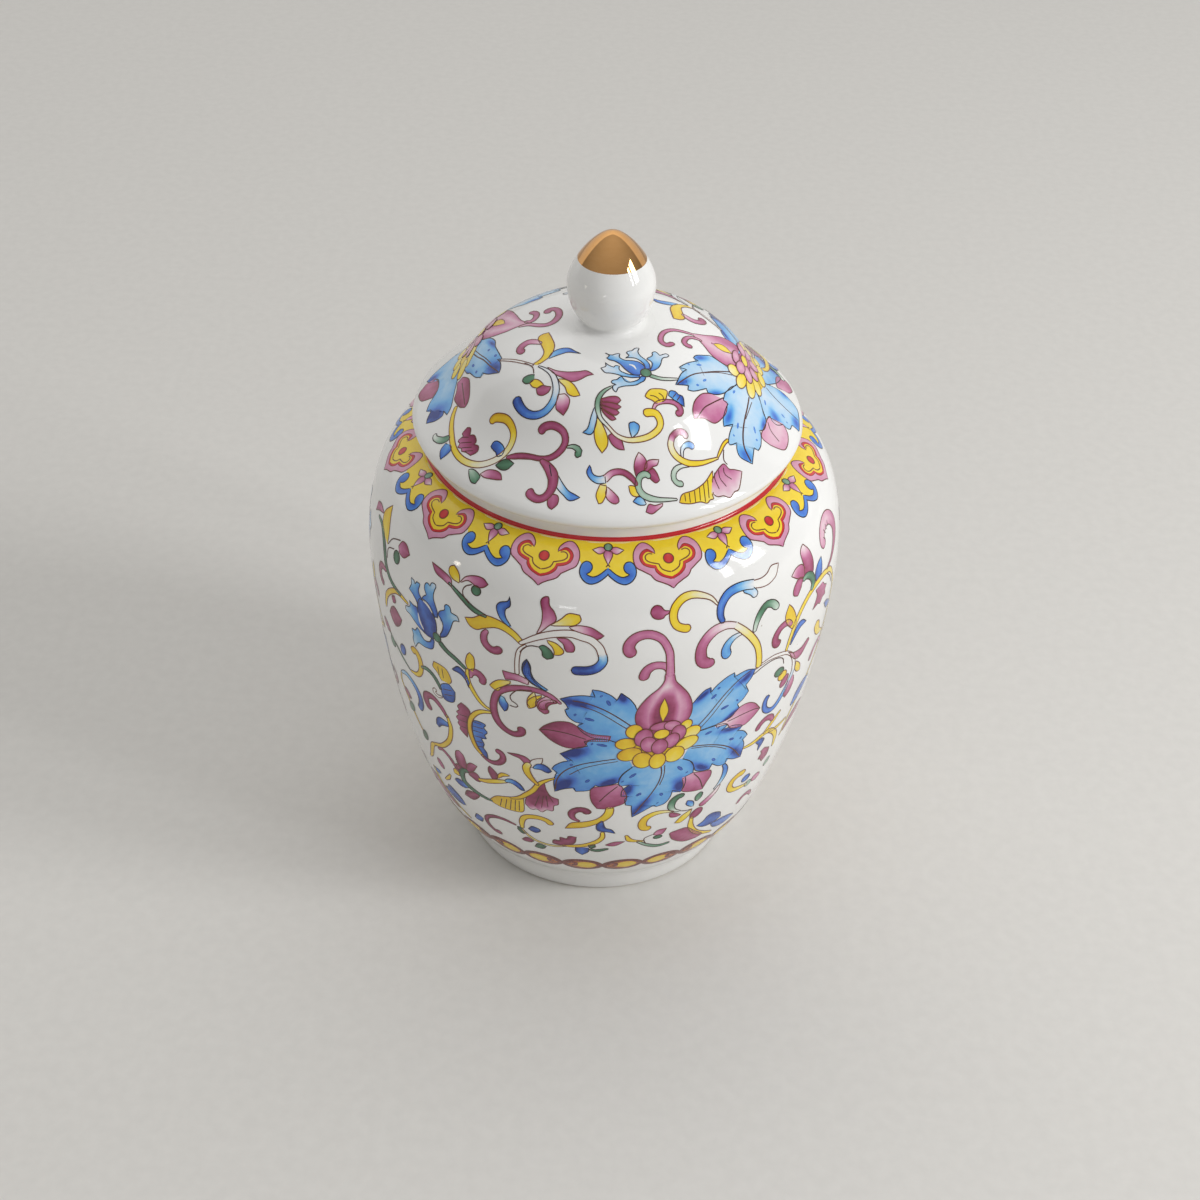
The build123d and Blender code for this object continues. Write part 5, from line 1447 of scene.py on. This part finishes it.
materials = {pigment: enamel(*spec) for pigment, spec in ENAMELS.items()}
jar_glaze = porcelain("glazed_porcelain_jar", 0.0)
lid_glaze = porcelain("glazed_porcelain_lid", RIM_Z)
knob_glaze = porcelain("glazed_porcelain_knob", SEAT_Z)
gold = bright_gold("bright_gold_lustre")

for title, line, material, node_name, body, slot in (
    ("jar_porcelain", jar_section(), jar_glaze, "jar_body", "jar", "jar_glaze"),
    ("lid_porcelain", lid_section(), lid_glaze, "lid", "lid", "lid_glaze"),
    ("knob_porcelain", knob_section(), knob_glaze, "lid_knob", "lid", "knob_glaze"),
    ("gilt_tip", gilt_section(), gold, "gilt_cap", "lid", "gilding"),
):
    piece = turned(title, line, material)
    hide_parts(node_name)
    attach(piece, body)
paint_pieces(jar_ground, "jar", "jar", materials)
paint_pieces(lid_ground, "lid", "lid", materials)

# Pale floor that carries the shadow
FLOOR_HALF = 12
reach = np.linspace(-FLOOR_HALF, FLOOR_HALF, 3) / MM
gx, gy = np.meshgrid(reach, reach, indexing="ij")
corner = np.arange(9).reshape(3, 3)
squares = np.stack([corner[:-1, :-1], corner[1:, :-1], corner[1:, 1:], corner[:-1, 1:]], -1).reshape(-1, 4)
floor = mesh_piece("floor", np.stack([gx, gy, np.zeros_like(gx)], -1).reshape(-1, 3), squares,
                   matt_paper("matt_paper"))


def aim(place, target, roll=0.0):
    """Matrix that puts a lamp or camera at a place, looking along -Z at a target, and rolled by an angle in
    degrees."""
    place, target = np.array(place, float), np.array(target, float)
    ahead = (target - place) / np.linalg.norm(target - place)
    right = np.cross(ahead, [0, 0, 1])
    right /= np.linalg.norm(right)
    up = np.cross(right, ahead)
    c, s = direction(roll)
    right, up = c * right + s * up, c * up - s * right
    matrix = np.eye(4)
    matrix[:3, :4] = np.column_stack([right, up, -ahead, place])
    return matrix.tolist()


JAR_MIDDLE = (0, 0, 0.08)


def lamp(name, place, size, watts, tint):
    """Soft box: a rectangular area light aimed at the middle of the jar, with its place and size in
    metres."""
    light = bpy.data.lights.new(name, "AREA")
    light.shape = "RECTANGLE"
    light.size, light.size_y = size
    light.energy = watts
    light.color = linear(tint)[:3]
    thing = bpy.data.objects.new(name, light)
    bpy.context.scene.collection.objects.link(thing)
    thing.matrix_world = Matrix(aim(place, JAR_MIDDLE))


# Two soft boxes at the right, and a small glint at the front and at the left
lamp("key_box", (0.88, -0.24, 0.52), (0.22, 0.40), 4.2, "#FFFFFF")
lamp("key_strip", (0.80, -0.47, 0.52), (0.08, 0.40), 1.5, "#FFFFFF")
lamp("front_glint", (-0.25, -0.95, 0.14), (0.12, 0.02), 0.06, "#FFFFFF")
lamp("side_glint", (-0.93, -0.36, 0.22), (0.05, 0.07), 0.12, "#FFF3E2")

# Soft studio light: dim at the horizon, brighter overhead, and paler on the far side, which shows in the gold
world = bpy.data.worlds.new("studio")
bpy.context.scene.world = world
world.use_nodes = True
sky = world.node_tree
way = node(sky, "ShaderNodeTexCoord").outputs["Generated"]
high = node(sky, "ShaderNodeVectorMath", {0: way, 1: (0, 0, 1)}, operation="DOT_PRODUCT")
overhead = node(sky, "ShaderNodeMapRange", {"Value": high.outputs["Value"], "To Min": 0.17, "To Max": 0.72})
behind = node(sky, "ShaderNodeVectorMath", {0: way, 1: (0, 1, 0)}, operation="DOT_PRODUCT")
far_side = node(sky, "ShaderNodeMapRange",
                {"Value": behind.outputs["Value"], "From Min": 0.33, "From Max": 0.38, "To Max": 0.6})
level = node(sky, "ShaderNodeMath", {0: overhead.outputs[0], 1: far_side.outputs[0]}, operation="ADD")
sky.nodes["Background"].inputs["Color"].default_value = linear("#F8F7F5")
sky.links.new(level.outputs[0], sky.nodes["Background"].inputs["Strength"])

# Camera fitted to the photo: 61.4 mm lens on a 36 mm frame, 38 degrees down, 450 mm away
VIEW_DOWN, VIEW_FAR, VIEW_ROLL = 38.12, 450.0, 1.66
TARGET = np.array([-0.46, 0.0, 59.245])
back, up = direction(VIEW_DOWN)
place = TARGET + VIEW_FAR * np.array([0, -back, up])
lens = bpy.data.cameras.new("camera")
lens.sensor_width = 36.0
lens.lens = 61.44
lens.clip_start = 0.01
camera = bpy.data.objects.new("camera", lens)
bpy.context.scene.collection.objects.link(camera)
camera.matrix_world = Matrix(aim(place * MM, TARGET * MM, VIEW_ROLL))
bpy.context.scene.camera = camera
bpy.context.scene.view_settings.view_transform = "Standard"
